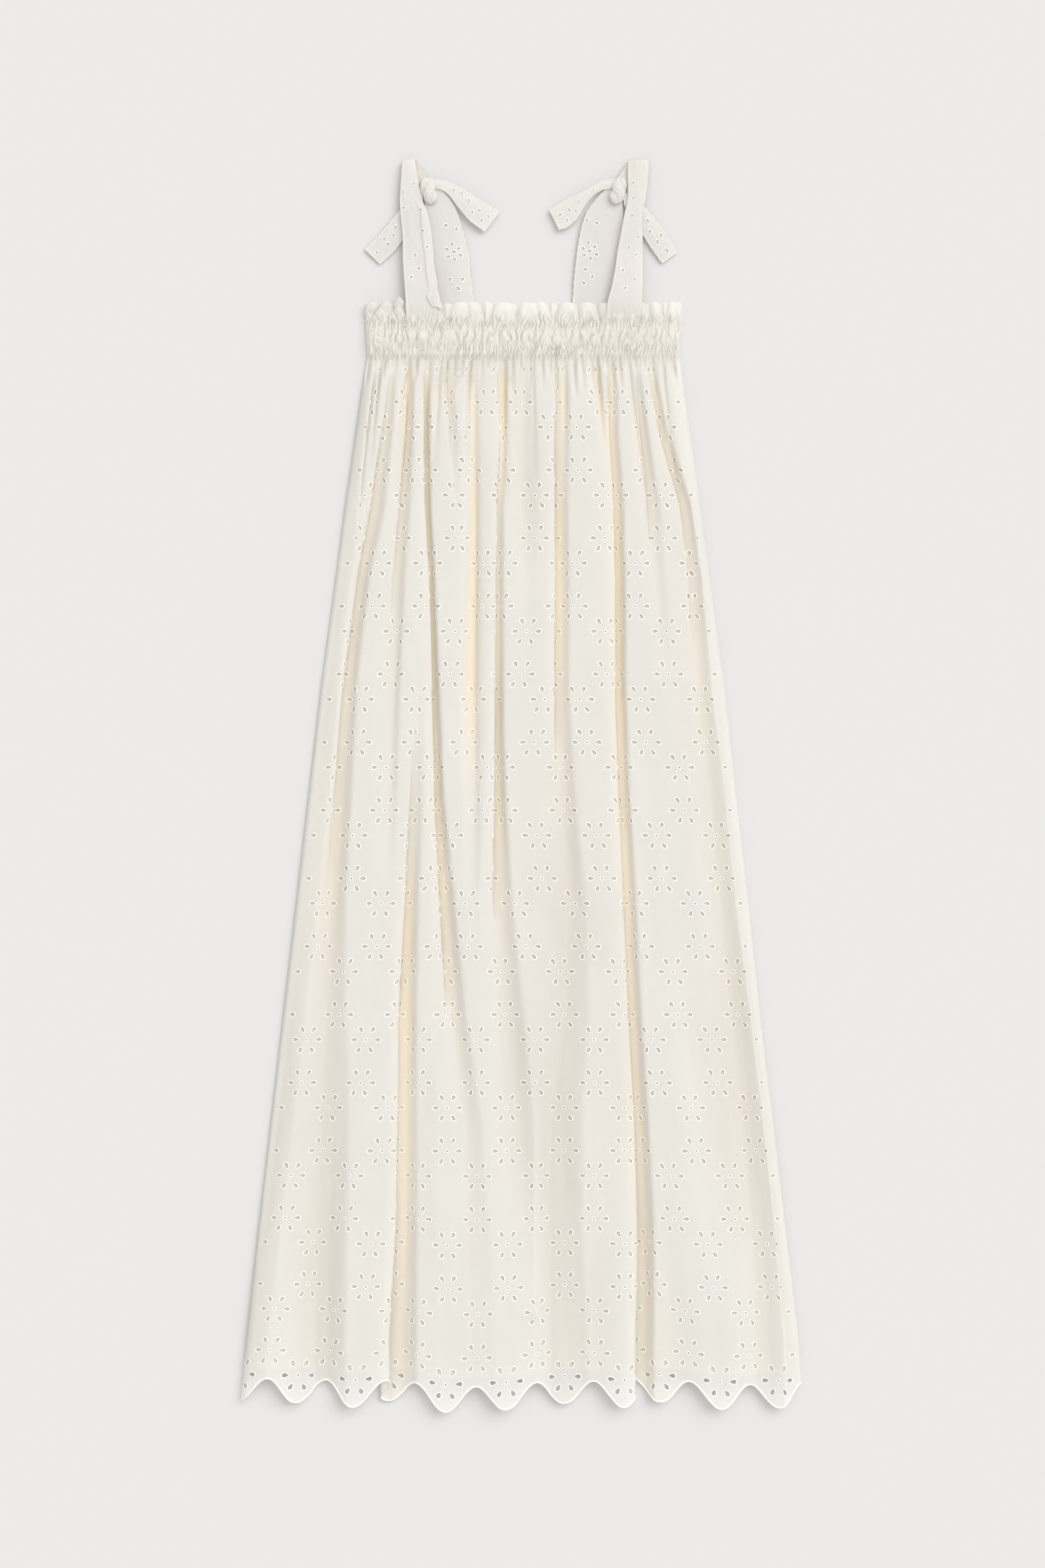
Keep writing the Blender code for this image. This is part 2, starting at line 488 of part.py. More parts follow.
def make_knot(name, row):
    """A knot: a rounded lump with the cloth's wraps as ridges along it."""
    x, down, half_width, half_length, base, height, lean = row
    rings, around = 10, 16
    points, faces = [], []
    turn = math.radians(lean)
    for i in range(rings + 1):
        t = -1 + 2 * i / rings
        swell = math.sqrt(max(0.0, 1 - 0.93 * t * t))
        for j in range(around):
            angle = 2 * math.pi * j / around
            wrap = 1 + 0.09 * math.cos(4 * angle + 2.0 * t)
            u = half_width * swell * wrap * math.cos(angle)
            v = half_length * t
            z = base + height / 2 * swell * wrap * math.sin(angle) + height / 2
            points.append((x - MIDDLE_X + u * math.cos(turn) - v * math.sin(turn),
                           MIDDLE_DOWN - down + u * math.sin(turn) + v * math.cos(turn), z))
    for i in range(rings):
        for j in range(around):
            a, b = i * around + j, i * around + (j + 1) % around
            faces += [(a, b, b + around), (a, b + around, a + around)]
    for start in (0, rings * around):
        ring = points[start:start + around]
        points.append(tuple(np.mean(ring, axis=0)))
        for j in range(around):
            faces.append((start + (j + 1) % around, start + j, len(points) - 1))
    mesh = bpy.data.meshes.new(name)
    mesh.from_pydata([tuple(c * MM for c in p) for p in points], [], faces)
    bm = bmesh.new()
    bm.from_mesh(mesh)
    bmesh.ops.recalc_face_normals(bm, faces=bm.faces)
    bm.to_mesh(mesh)
    bm.free()
    body = bpy.data.objects.new(name, mesh)
    bpy.context.scene.collection.objects.link(body)
    material = bpy.data.materials.new(name)
    material.use_nodes = True
    shader = material.node_tree.nodes["Principled BSDF"]
    shader.inputs["Base Color"].default_value = (*IVORY, 1.0)
    shader.inputs["Roughness"].default_value = 0.9
    mesh.materials.append(material)


def main():
    for thing in list(bpy.data.objects):
        bpy.data.objects.remove(thing, do_unlink=True)
    make_front()
    make_back()
    ribbon("strap_front_left", STRAP_FRONT_LEFT, 1.4, 1.0)
    ribbon("strap_front_right", STRAP_FRONT_RIGHT, 1.4, 1.0)
    ribbon("strap_back_left", STRAP_BACK_LEFT, 1.2, 0.5, ripple=0.3)
    ribbon("strap_back_right", STRAP_BACK_RIGHT, 1.2, 0.5, ripple=0.3)
    ribbon("tie_end_inner_left", TIE_INNER_LEFT, 1.4, 1.2)
    ribbon("tie_end_inner_right", TIE_INNER_RIGHT, 1.4, 1.2)
    ribbon("tie_end_outer_left", TIE_OUTER_LEFT, 1.2, 0.8)
    ribbon("tie_end_outer_right", TIE_OUTER_RIGHT, 1.2, 0.8)
    for name, row in KNOTS.items():
        make_knot(name, row)


main()
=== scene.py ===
# Eyelet-cloth midi dress laid flat, dressed over its CAD solids.
# Lengths in the tables are millimetres, as in the part's source: "down" is the distance below the tops of the
# folded straps, x is the distance from the centre line, and s is the distance across the cut cloth.
import math

import bmesh
import bpy
import numpy as np
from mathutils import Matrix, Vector
from mathutils.geometry import delaunay_2d_cdt


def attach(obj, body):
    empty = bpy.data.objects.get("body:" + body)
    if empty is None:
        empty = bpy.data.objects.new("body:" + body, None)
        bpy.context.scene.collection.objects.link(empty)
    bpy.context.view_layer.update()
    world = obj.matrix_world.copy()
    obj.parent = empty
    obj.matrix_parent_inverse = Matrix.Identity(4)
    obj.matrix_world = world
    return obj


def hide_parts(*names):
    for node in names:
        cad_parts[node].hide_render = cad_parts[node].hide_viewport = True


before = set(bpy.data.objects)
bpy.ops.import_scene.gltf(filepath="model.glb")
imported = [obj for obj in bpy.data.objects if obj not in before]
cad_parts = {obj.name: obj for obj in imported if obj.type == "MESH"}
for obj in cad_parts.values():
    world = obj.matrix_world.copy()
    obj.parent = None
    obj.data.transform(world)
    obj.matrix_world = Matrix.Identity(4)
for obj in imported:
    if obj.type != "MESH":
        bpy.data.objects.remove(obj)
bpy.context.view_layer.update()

MM = 0.001
CUT_WIDTH = 610.0        # width of each body panel before it is gathered
WALL = 1.2               # thickness of the solids' cloth walls
SEAM_GAP = 0.3           # between the two panels
FLOOR_GAP = WALL + SEAM_GAP + WALL / 2
MIDDLE_X = 1.15          # the place in the tables that is the part's own origin
MIDDLE_DOWN = 603.35

HEADING_TOP = 141.0      # levels of the shirred top, from the frill's edge down
ELASTIC_TOP = 156.0
CHANNEL_TOP = 166.0
CHANNEL_END = 180.0
ELASTIC_END = 191.0
HEM_TIP = 1196.0
SCALLOP_DEPTH = 23.0
PUFFS = 34
FINE_RIBS = 96
FINE_STEP = 0.5
FOLD_ROUNDING = 3
MOST_TUCK = 20.0         # how far cloth lies folded back under a ridge
GATHER_COUNT = 40
GATHER_DEPTH = 7.0
GATHER_PITCH = 4.1       # of the smallest gathers, under the elastic
LINING_GAP = 1.3
CLOSE_END = 261.0        # down to here the rows of points are twice as close
LINING_END = 1163.0
SIDE_TURN = 9.0          # cloth along each side edge that turns down and stays plain
STITCH_STEP, STITCH_LENGTH = 5.0, 3.1
BACK_TOP, BACK_TIP = 157.0, 1170.0
BACK_INSET = 2.5         # how far the back's sides lie inside the front's
BACK_UPPER, BACK_LOWER = 0.85, 0.05   # heights of its two faces

# Outline of the front: down, left x, right x
OUTLINE = (
    (136, -149, 154), (165, -149, 154), (191, -147, 152), (230, -153, 157), (279, -160, 164),
    (334, -168, 172), (404, -177, 181), (508, -191, 195), (611, -203, 206), (715, -215, 218),
    (819, -227, 229), (923, -239, 242), (1027, -251, 254), (1131, -262, 266), (1200, -269, 270),
)
# Levels at which the folds are measured, and the height of the cloth's ridges there
LEVELS = (196, 265, 334, 404, 508, 611, 715, 819, 923, 1027, 1131)
RIDGES = (8.0, 9.0, 9.5, 9.8, 10.2, 10.6, 11.0, 12.0, 12.8, 13.8, 15.0)
DEPTHS = (5.2, 6.2, 6.9, 7.3, 7.6, 7.8, 8.0, 8.4, 8.8, 9.2, 9.6)
# Folds from left to right. Each row is a fold: at each level the x of its foot, the width of the rise on its
# gentle side, its strength, and how soft its steep side is; last, the cloth tucked under it at the hem. A
# fold whose softness is negative is turned round, with its gentle side to the left. A list that is shorter
# than LEVELS goes on with its last value.
FOLDS = [
    ("left_edge", (-139, -148, -157, -166), (4, 4, 5, 6), (.7, .6, .3, 0), (2, 2, 4, 6), 0),
    ("left_outer", (-122, -130, -140, -153, -167, -175, -184, -187, -192, -197, -199),
     (3, 7, 10, 8, 10, 13, 16, 20, 28, 30, 32), (.5, .7, .8, .8, .8, .8, .7, .6, .7, .8, .9),
     (2, 3, 4, 4, 4, 5, 6, 9, 11, 12), 8),
    ("left_high", (-106, -108, -113, -119, -123, -126, -130), (4, 5, 7, 8, 7), (.8, .8, .7, .7, .6, .3, 0),
     (1, 2, 4, 5, 7, 8, 9), 0),
    ("left_deep", (-98, -99, -100, -101, -99, -103, -109, -115, -116, -118, -124),
     (5, 5, 5, 5, 8, 9, 11, 15, 17, 19, 24), (0, 0, 0, 0, 0, .5, .9, 1), (2, 2, 2, 2, 2, 2, 1, 0), 40),
    ("left_inner", (-91, -91, -90, -86, -83, -81, -75, -67, -54, -51, -49),
     (4, 4, 4, 4, 5, 7, 12, 14, 16, 19, 24), (.9, 1, 1, 1, 1, 1, 1, .8, .5, .3, .2),
     (0, 0, 0, 0, 0, 0, 1, 6, 12, 16, 18), 0),
    ("pinch", (-70, -66, -63, -60), (4, 5, 4), (.7, .5, .1, 0), (1,), 0),
    ("middle_left", (-43, -43, -42, -42, -43, -42, -42, -40), (6, 7, 9, 13, 15, 14, 12),
     (.8, .9, 1, 1, .9, .5, .1, 0), (-1,), 0),
    ("middle", (-21, -18, -21, -22, -23, -23, -23, -16, -3, 2, 4), (7, 4, 4, 5, 6, 8, 15, 18, 17, 12, 10),
     (.8, .4, .6, .7, .8, .9, .8, .6, .35, .1, 0), (1, 0, 0, 0, 0, 1, 5, 10, 15, 18), 0),
    ("middle_high", (3, 1, 1, 2, 4), (5, 14, 16, 12, 6), (.6, .5, .4, .2, 0), (4, 8, 9), 0),
    ("middle_right", (37, 34, 34, 34, 35, 38, 46, 41, 27, 25, 26),
     (11, 11, 11, 12, 11, 14, 16, 24, 32, 34, 38), (.7, .8, .9, .9, .8, .6, .4, .45, .7, .8, .95),
     (0, 0, 0, 0, 2, 8, 14, 18, 18, 15, 13), 0),
    ("right_deep", (86, 86, 90, 92, 92, 95, 100, 104, 110, 113, 111),
     (6, 7, 8, 8, 8, 9, 10, 11, 12, 14, 16), (.9, 1), (0,), 30),
    ("right_high", (110, 116, 124, 128, 140), (3, 6, 9, 9, 5), (.6, .8, .6, .3, 0), (1, 2, 4, 6, 8), 0),
    ("right_outer", (122, 135, 155, 164, 169, 180, 190, 200, 210, 220, 224),
     (4, 6, 8, 10, 14, 16, 16, 20, 22, 24, 28), (.6, .8, .8, .7, .5, .5, .5, .6, .7),
     (2, 3, 4, 5, 6, 8, 9, 10, 10, 9, 8), 4),
]
FOLDS = [(name, *(row + row[-1:] * (len(LEVELS) - len(row)) for row in rows), hem_tuck)
         for name, *rows, hem_tuck in FOLDS]
# A tuck: share of its cloth, share of its reach back under the ridge, and share of its drop
TUCK_SHAPE = ((0.22, 0.45, 0.2), (0.44, 0.9, 0.52), (0.5, 1.0, 0.62), (0.56, 0.9, 0.78), (0.8, 0.45, 0.95))
# Clefts between the frill's waves: x along the heading, width, depth, and sideways lean on the way down
CLEFTS = (
    (-144, 1.6, 2.5, 0.35), (-136, 2.2, 4.8, -0.6), (-127, 1.8, 3.6, 0.5), (-121, 2.4, 5, -0.5),
    (-113, 2, 4, 0.3), (-101, 2, 2.5, 0), (-92, 1.5, 2.5, 0), (-77, 2.2, 3.5, 0.3), (-66, 1.6, 2.5, -0.3),
    (-52, 1.6, 2.2, 0.2), (-39, 2.6, 4.7, 0.25), (-27, 2.2, 4, -0.2), (-5, 3, 5.2, 0), (14, 1.4, 1.8, 0.2),
    (26, 2.2, 4.2, 0.2), (35, 2.4, 4.8, -0.3), (53, 2.6, 4.8, 0.1), (71, 2.2, 4.2, 0.2), (86, 1.8, 2.5, 0),
    (98, 1.6, 2.5, 0), (110, 1.8, 2.5, 0), (121, 2.2, 4.2, 0.2), (133, 2.4, 4.6, 0.2), (140, 2, 3.6, -0.2),
    (148, 1.6, 2, 0),
)
# Drop of each scallop's tip below HEM_TIP, from left to right; the first tip is at the left edge
SCALLOP_DROPS = (-6, -5, -1, -6, 4, 1, -4, -1, -6, 1, 0)
SCALLOPS = len(SCALLOP_DROPS) - 0.5
SCALLOP_PITCH = CUT_WIDTH / SCALLOPS

# Eyelet flowers: six petals round a centre, in upright pairs that alternate from column to column
PETAL_RADIUS = 10.9
PETAL_LENGTH = 6.3
PETAL_WIDTH = 4.0
CENTRE_HOLE = 2.6
HEM_GROWTH = 0.45        # how much wider the holes of the last row above the hem are
BORDER_SPREAD = 1.7      # and how much further from their flower's centre
PAIR_SPACING = 41.0
REPEAT_DOWN = 130.0
TIP_PAIR_DOWN = 1190.0
# One petal's outline from its narrow inner end: along, aside, in shares of its length and width
PETAL_SHAPE = ((-0.5, 0.0), (-0.22, 0.3), (0.1, 0.5), (0.38, 0.38), (0.5, 0.0), (0.38, -0.38), (0.1, -0.5),
               (-0.22, -0.3))

CELL = 12                # side of the squares in which the points near a hole are looked up

# Photo framing: the photo's height at the cloth, and the picture's middle
PHOTO_HEIGHT = 1.5011
CAMERA_DISTANCE = 4.0
# Soft key from the upper right and a weak fill: name, where it comes from, spread in degrees, strength and
# colour
LIGHTS = (("key", (0.85, 0.7, 1.3), 45.0, 1.6, (0.975, 0.985, 1.0)),
          ("top", (0.1, 0.4, 1.5), 60.0, 0.8, (0.98, 0.99, 1.0)))
WORLD_STRENGTH = 0.794
WORLD_COLOUR = (1.0, 0.98, 0.93, 1.0)
FLOOR_COLOUR = (0.595, 0.592, 0.594, 1.0)
FLOOR_HALF, FLOOR_DROP = 6.0, 0.0004  # half its side, and how far it lies under the part
CAMERA_X = 0.0002
CAMERA_Y = 0.0031
SENSOR = 36.0            # along the picture's long side
FARTHEST_SEEN = 30.0


def smooth_line(values, steps):
    """A running average with soft ends."""
    kernel = np.exp(-0.5 * (np.arange(-3 * steps, 3 * steps + 1) / max(steps, 1e-6)) ** 2)
    kernel /= kernel.sum()
    padded = np.concatenate([2 * values[0] - values[3 * steps:0:-1], values,
                             2 * values[-1] - values[-2:-3 * steps - 2:-1]])
    return np.convolve(padded, kernel, "valid")


def column(table, index):
    return [row[index] for row in table]


def between(down, values, levels=LEVELS):
    """One number at this depth down the dress, from a row of them at the levels."""
    return float(np.interp(down, levels, values))


def edge_at(down, side):
    return between(down, column(OUTLINE, side), column(OUTLINE, 0))


def share_of(amount):
    """The amount, kept between 0 and 1."""
    return np.clip(amount, 0, 1)


def unit(vectors):
    return vectors / np.maximum(np.linalg.norm(vectors, axis=1), 1e-9)[:, None]


def placed(x, down, z):
    """Points of the part, in millimetres from its origin, from places in the tables."""
    return np.stack([x - MIDDLE_X, MIDDLE_DOWN - down, z], -1)


def raised(surface, places, heights):
    """Points above a surface, at places across and along it."""
    across, along = places[:, 0], places[:, 1]
    return surface.at(across, along) + surface.normals(across, along) * heights[:, None]


def grid_faces(rows, width, closed=False):
    """Triangles between rows of points; a closed row joins its last point to its first."""
    faces = []
    for i in range(rows - 1):
        for j in range(width if closed else width - 1):
            a, b = i * width + j, i * width + (j + 1) % width
            faces += [(a, b, b + width), (a, b + width, a + width)]
    return faces


def band(surface, places, heights):
    """A raised band over a surface, through parallel lines of places, each with its heights."""
    points = raised(surface, np.stack(places, 1).reshape(-1, 2), np.stack(heights, 1).ravel())
    return points, grid_faces(len(places[0]), len(places))


class Noise:
    """Smooth repeatable unevenness over the cloth, from a seeded lattice."""

    def __init__(self, seed):
        self.table = np.random.default_rng(seed).uniform(-1, 1, (64, 64))

    def at(self, a, b):
        i, j = np.floor(a).astype(int), np.floor(b).astype(int)
        u, v = a - i, b - j
        u, v = u * u * (3 - 2 * u), v * v * (3 - 2 * v)
        t = self.table
        low = t[i % 64, j % 64] * (1 - u) + t[(i + 1) % 64, j % 64] * u
        high = t[i % 64, (j + 1) % 64] * (1 - u) + t[(i + 1) % 64, (j + 1) % 64] * u
        return low * (1 - v) + high * v


COARSE, MEDIUM, FINE = Noise(3), Noise(11), Noise(29)


class Gathers:
    """The narrow valleys that leave the elastic, each with its own depth and length down the skirt."""

    def __init__(self, count, seed):
        rng = np.random.default_rng(seed)
        self.place = (np.arange(count) + 0.5 + rng.uniform(-0.45, 0.45, count)) / count
        self.depth = rng.uniform(0.25, 1.0, count)
        long, short = rng.uniform(80, 190, count), rng.uniform(10, 42, count)
        self.reach = np.where(np.arange(count) % 4 == 1, long, short)
        self.width = rng.uniform(1.1, 1.8, count)
        self.lean = rng.uniform(-0.008, 0.008, count)

    def size(self, down):
        below = down - ELASTIC_END
        begun = min(max(below / 8.0, 0), 1)
        return GATHER_DEPTH * self.depth * begun * share_of(1 - below / self.reach) ** 0.7

    def drop(self, share, wide, down):
        """How far the cloth drops, at shares of a row that is this wide."""
        below = max(0.0, down - ELASTIC_END)
        total = np.zeros_like(share)
        for place, size, width, lean in zip(self.place, self.size(down), self.width, self.lean):
            if size > 0.02:
                aside = (share - place - lean * below / 100.0) * wide / (width * (1 + below / 90.0))
                total = np.maximum(total, size * np.exp(-aside * aside))
        return total

    def taken(self, down):
        """Cloth that the valleys take up in one row."""
        below = max(0.0, down - ELASTIC_END)
        half = 1.3 * self.width * (1 + below / 90.0)
        return float(np.sum(2 * np.hypot(self.size(down), half) - 2 * half))


GATHERS = Gathers(GATHER_COUNT, 8)


def fold_points(down):
    """Corner points of one row of the front, left to right: cloth distance, x and z, with the tucks."""
    left, right = edge_at(down, 1), edge_at(down, 2)
    top, depth = between(down, RIDGES), between(down, DEPTHS)
    fade = between(down, (0.0, 1.0), (187, 220))
    rows = []
    for _, feet, rises, strengths, softness, hem_tuck in FOLDS:
        strength = between(down, strengths) * fade
        if strength > 0.02:
            rise = max(between(down, rises), 3.0)
            rows.append([between(down, feet), rise, strength, between(down, softness), hem_tuck])
    rows.sort()
    reach = between(down, (9.0, 22.0), (196, 600))
    side = [(0.0, 0.0), (0.4, 0.22), (0.22 * reach, 0.43), (0.55 * reach, 0.74), (reach, 1.0)]
    points = [(left + aside, FLOOR_GAP + share * (top - FLOOR_GAP)) for aside, share in side]
    tucks, falls = [0] * len(side), [0] * len(side)
    for foot, rise, strength, soft, hem_tuck in rows:
        fall = depth * strength
        near = min(1.0, strength * 1.4)
        wide = abs(soft)
        fold = [(-9.0 * near - 1.6 * wide, 0.08), (-3.0 * near - 0.9 * wide, 0.26), (-0.5 - 0.4 * wide, 0.55),
                (0.0, 0.80), (0.6, 1.0), (0.45 * rise, 0.88), (0.8 * rise, 0.45), (rise, 0.08)]
        way = -1 if soft < 0 else 1
        points += [(foot + way * aside, top - drop * fall) for aside, drop in fold[::way]]
        share = between(down, (strength, hem_tuck / 30.0), (715, 1131))
        share *= 0.0 if soft < 0 else max(0.0, 1.0 - soft / 6.0)
        tucks += [0, 0, 0, share, 0, 0, 0, 0]
        falls += [0, 0, 0, fall, 0, 0, 0, 0]
    points += [(right - aside, FLOOR_GAP + share * (top - FLOOR_GAP)) for aside, share in side[::-1]]
    tucks += [0] * len(side)
    falls += [0] * len(side)
    flat = np.array(points)
    flat[1:, 0] = np.maximum.accumulate(flat[1:, 0] - np.arange(len(flat) - 1) * 0.05)
    flat[1:, 0] += np.arange(len(flat) - 1) * 0.05
    steps = np.hypot(*np.diff(flat, axis=0).T)
    hidden = max(0.0, CUT_WIDTH - steps.sum() - GATHERS.taken(down))
    share = np.array(tucks[1:], float)
    added = hidden * between(down, (0.0, 0.35, 1.0), (192, 215, 260)) * share / max(share.sum(), 1e-9)
    steps = steps + added
    steps = steps * CUT_WIDTH / steps.sum()
    distance = np.concatenate([[0.0], np.cumsum(steps)])
    shaped = [(distance[0], *flat[0])]
    for k in range(1, len(flat)):
        tuck = min(added[k - 1] / 2, MOST_TUCK, 2.6 * (falls[k] - 1.8))
        if tuck > 1.0:
            a, b = flat[k - 1], flat[k]
            start, end = distance[k - 1], distance[k]
            for part, back, drop in TUCK_SHAPE:
                shaped.append((start + part * (end - start), a[0] - back * tuck,
                               a[1] - drop * 0.5 * falls[k]))
            shaped.append((end, b[0], a[1] - 0.47 * falls[k]))
        else:
            shaped.append((distance[k], *flat[k]))
    return np.array(shaped)


class Front:
    """The front's surface, looked up by cloth distance s and by down."""

    def __init__(self):
        self.step = 4.0
        self.downs = np.arange(HEADING_TOP - 8, HEM_TIP + 16, self.step)
        self.count = 1901
        self.places = np.linspace(0, CUT_WIDTH, self.count)
        grid = []
        for down in self.downs:
            shaped = fold_points(down)
            flat = shaped[:, 1:]
            along = np.concatenate([[0.0], np.cumsum(np.hypot(*np.diff(flat, axis=0).T))])
            fine = np.linspace(0, along[-1], int(along[-1] / FINE_STEP))
            x = smooth_line(np.interp(fine, along, flat[:, 0]), FOLD_ROUNDING)
            z = smooth_line(np.interp(fine, along, flat[:, 1]), FOLD_ROUNDING)
            place = np.interp(fine, along, shaped[:, 0])
            plain = np.hypot(np.diff(x), np.diff(z))
            z = z - GATHERS.drop((x - x[0]) / (x[-1] - x[0]), x[-1] - x[0], down)
            z = z + GATHERS.size(down).mean() / GATHER_DEPTH
            steps = np.diff(place) + np.hypot(np.diff(x), np.diff(z)) - plain
            place = np.concatenate([[0.0], np.cumsum(steps)])
            place *= CUT_WIDTH / place[-1]
            grid.append(np.stack([np.interp(self.places, place, x), np.interp(self.places, place, z)], -1))
        self.grid = np.array(grid)

    def flat_at(self, s, down):
        row = np.clip((down - self.downs[0]) / self.step, 0, len(self.downs) - 1.001)
        place = np.clip(s / CUT_WIDTH * (self.count - 1), 0, self.count - 1.001)
        i, j = row.astype(int), place.astype(int)
        a, b = (row - i)[:, None], (place - j)[:, None]
        g = self.grid
        return ((1 - a) * ((1 - b) * g[i, j] + b * g[i, j + 1])
                + a * ((1 - b) * g[i + 1, j] + b * g[i + 1, j + 1]))

    def at(self, s, down):
        """Places on the cloth's upper face, in millimetres."""
        xz = self.flat_at(s, down)
        sag = np.interp(s, np.arange(len(SCALLOP_DROPS)) * SCALLOP_PITCH, SCALLOP_DROPS)
        shown_down = down + sag * share_of((down - 900) / 250) ** 2
        side = share_of(np.minimum(s, CUT_WIDTH - s) / SIDE_TURN)
        x, z = xz[:, 0], xz[:, 1]
        frill = frill_shape(x, down)
        shown_down = shown_down + side * frill[:, 1]
        z = z + side * (frill[:, 0] + gathers(x, down) + puffs(s, down) + ripples(s, down, x))
        x = x + side * (0.35 * MEDIUM.at(s / 9.0, down / 60.0 + 5.0))
        near_elastic = (ELASTIC_END - 8, ELASTIC_END, ELASTIC_END + 10, 240)
        lowest = FLOOR_GAP - 0.3 + side * np.interp(down, near_elastic, (0.0, 3.0, 2.0, 0.0))
        return placed(x, shown_down, np.maximum(z + 0.3, lowest))

    def normals(self, s, down):
        across = self.at(np.minimum(s + 0.8, CUT_WIDTH), down) - self.at(np.maximum(s - 0.8, 0), down)
        along = self.at(s, down + 0.8) - self.at(s, down - 0.8)
        return unit(np.cross(along, across))


def frill_shape(x, down):
    """Height of the frill's waves, and how far its edge rises, pinched in at the elastic."""
    below = down - HEADING_TOP
    cut = np.zeros_like(x)
    for place, width, depth, lean in CLEFTS:
        aside = (x - place - lean * below) / (width * np.interp(below, (0, 15), (1.5, 0.7)))
        cut = np.maximum(cut, 1.3 * depth * np.exp(-np.abs(aside) ** 1.5))
    swell = 1.1 * MEDIUM.at(x / 17.0, 7.5) + 0.5 * FINE.at(x / 6.0, below / 8.0)
    lift = np.interp(below, (0, 13, 17), (1.0, 0.7, 0.0))
    edge = (1.1 * MEDIUM.at(x / 9.0, 3.5) + 0.3 * cut - 0.8) * lift ** 2
    return np.stack([(1.7 + swell - cut) * lift, edge], -1)


def gathers(x, down):
    """The smallest gathers, which die out just under the elastic."""
    fade = np.interp(down, (ELASTIC_END - 3, ELASTIC_END + 2, 199, 207), (0.0, 1.0, 0.4, 0.0))
    wander = 2.0 * FINE.at(x / 16.0, down / 60.0)
    return 0.6 * fade * np.sin(2 * np.pi * x / GATHER_PITCH + wander)


def puffs(s, down):
    """Puffs of the shirred channel, and the fine gathers of the elastic rows above and below it."""
    lean = (down - CHANNEL_END) / 24.0
    wobble = 0.5 * FINE.at(s / 13.0, down / 7.0) + 0.3 * COARSE.at(s / 6.5 + 11, down / 4.5)
    phase = s / CUT_WIDTH * PUFFS + 0.8 * lean + 0.8 * MEDIUM.at(s / 45.0, 2.0) + 0.7 * wobble
    channel = (CHANNEL_TOP - 3, CHANNEL_TOP + 5, CHANNEL_END - 5, CHANNEL_END + 3)
    rows = np.interp(down, channel, (0.0, 1.0, 1.0, 0.0))
    size = 0.8 + 0.4 * FINE.at(s / 16.0, 4.5)
    puff = rows * 5.0 * size * np.abs(np.sin(np.pi * phase)) ** 0.6
    elastic = (ELASTIC_TOP - 9, ELASTIC_TOP, ELASTIC_END, ELASTIC_END + 4)
    tight = np.interp(down, elastic, (0.0, 1.0, 1.0, 0.0)) * (1 - rows)
    uneven = 0.8 + 0.5 * FINE.at(s / 9.0 + 20, down / 6.0)
    rib = s / CUT_WIDTH * FINE_RIBS + 2.2 * lean + 1.6 * wobble
    fine = tight * uneven * 3.7 * (np.abs(np.sin(np.pi * rib)) ** 0.7 - 0.5)
    return puff + fine + 1.3 * tight


def ripples(s, down, x):
    """Soft unevenness of washed cotton, strongest where the skirt is gathered."""
    fade = np.interp(down, (ELASTIC_END, ELASTIC_END + 20), (0.0, 1.0))
    long_waves = np.interp(down, (500, 1100), (1.0, 3.0)) * COARSE.at(s / 34.0 + 9.0, down / 230.0)
    short_waves = 0.38 * MEDIUM.at(s / 13.0, down / 75.0)
    crinkle = 0.13 * FINE.at(s / 6.0, down / 16.0)
    return fade * (long_waves + short_waves + crinkle)


def hem_line(s):
    """Down of the scalloped edge at cloth distance s."""
    phase = 2 * np.pi * s / SCALLOP_PITCH
    return HEM_TIP - SCALLOP_DEPTH * (0.5 - 0.5 * np.cos(phase)) ** 1.1


def petal(centre, angle, grow=0.0):
    """A teardrop eyelet's outline, narrow end inwards."""
    out = np.array([math.sin(angle), -math.cos(angle)])
    side = np.array([-out[1], out[0]])
    shape = np.array(PETAL_SHAPE)
    border = float(share_of((centre[1] - HEM_TIP + 60) / 30))
    grow = grow + HEM_GROWTH * border
    outwards = PETAL_RADIUS + BORDER_SPREAD * border + shape[:, :1] * (PETAL_LENGTH + 2 * grow)
    return np.array(centre) + out * outwards + side * shape[:, 1:] * (PETAL_WIDTH + 2 * grow)


def round_hole(centre, grow=0.0):
    turn = np.arange(7) * 2 * np.pi / 7
    return np.array(centre) + (CENTRE_HOLE / 2 + grow) * np.stack([np.sin(turn), np.cos(turn)], -1)


def flowers(top, bottom, width, offset=0.0):
    """Centres (s, down) of the flowers between two levels."""
    found = []
    for index in range(int(2 * width / SCALLOP_PITCH) + 2):
        s = offset + index * SCALLOP_PITCH / 2
        pair = TIP_PAIR_DOWN - (REPEAT_DOWN / 2 if index % 2 else 0)
        while pair > top - REPEAT_DOWN:
            for down in (pair - PAIR_SPACING / 2, pair + PAIR_SPACING / 2):
                if top < down < bottom:
                    found.append((s, down))
            pair -= REPEAT_DOWN
    return found


def lies_within(ring, low, high, top, bottom):
    return (ring.min(axis=0) > (low, top)).all() and (ring.max(axis=0) < (high, bottom)).all()


def holes_of(centres, *limits):
    """A maker for each flower's holes whose rims lie within the limits; its argument makes a wider copy."""
    makers = []
    for centre in centres:
        for angle in range(0, 360, 60):
            makers.append(lambda grow, c=centre, a=math.radians(angle + 30): petal(c, a, grow))
        makers.append(lambda grow, c=centre: round_hole(c, grow))
    return [maker for maker in makers if lies_within(maker(1.2), *limits)]


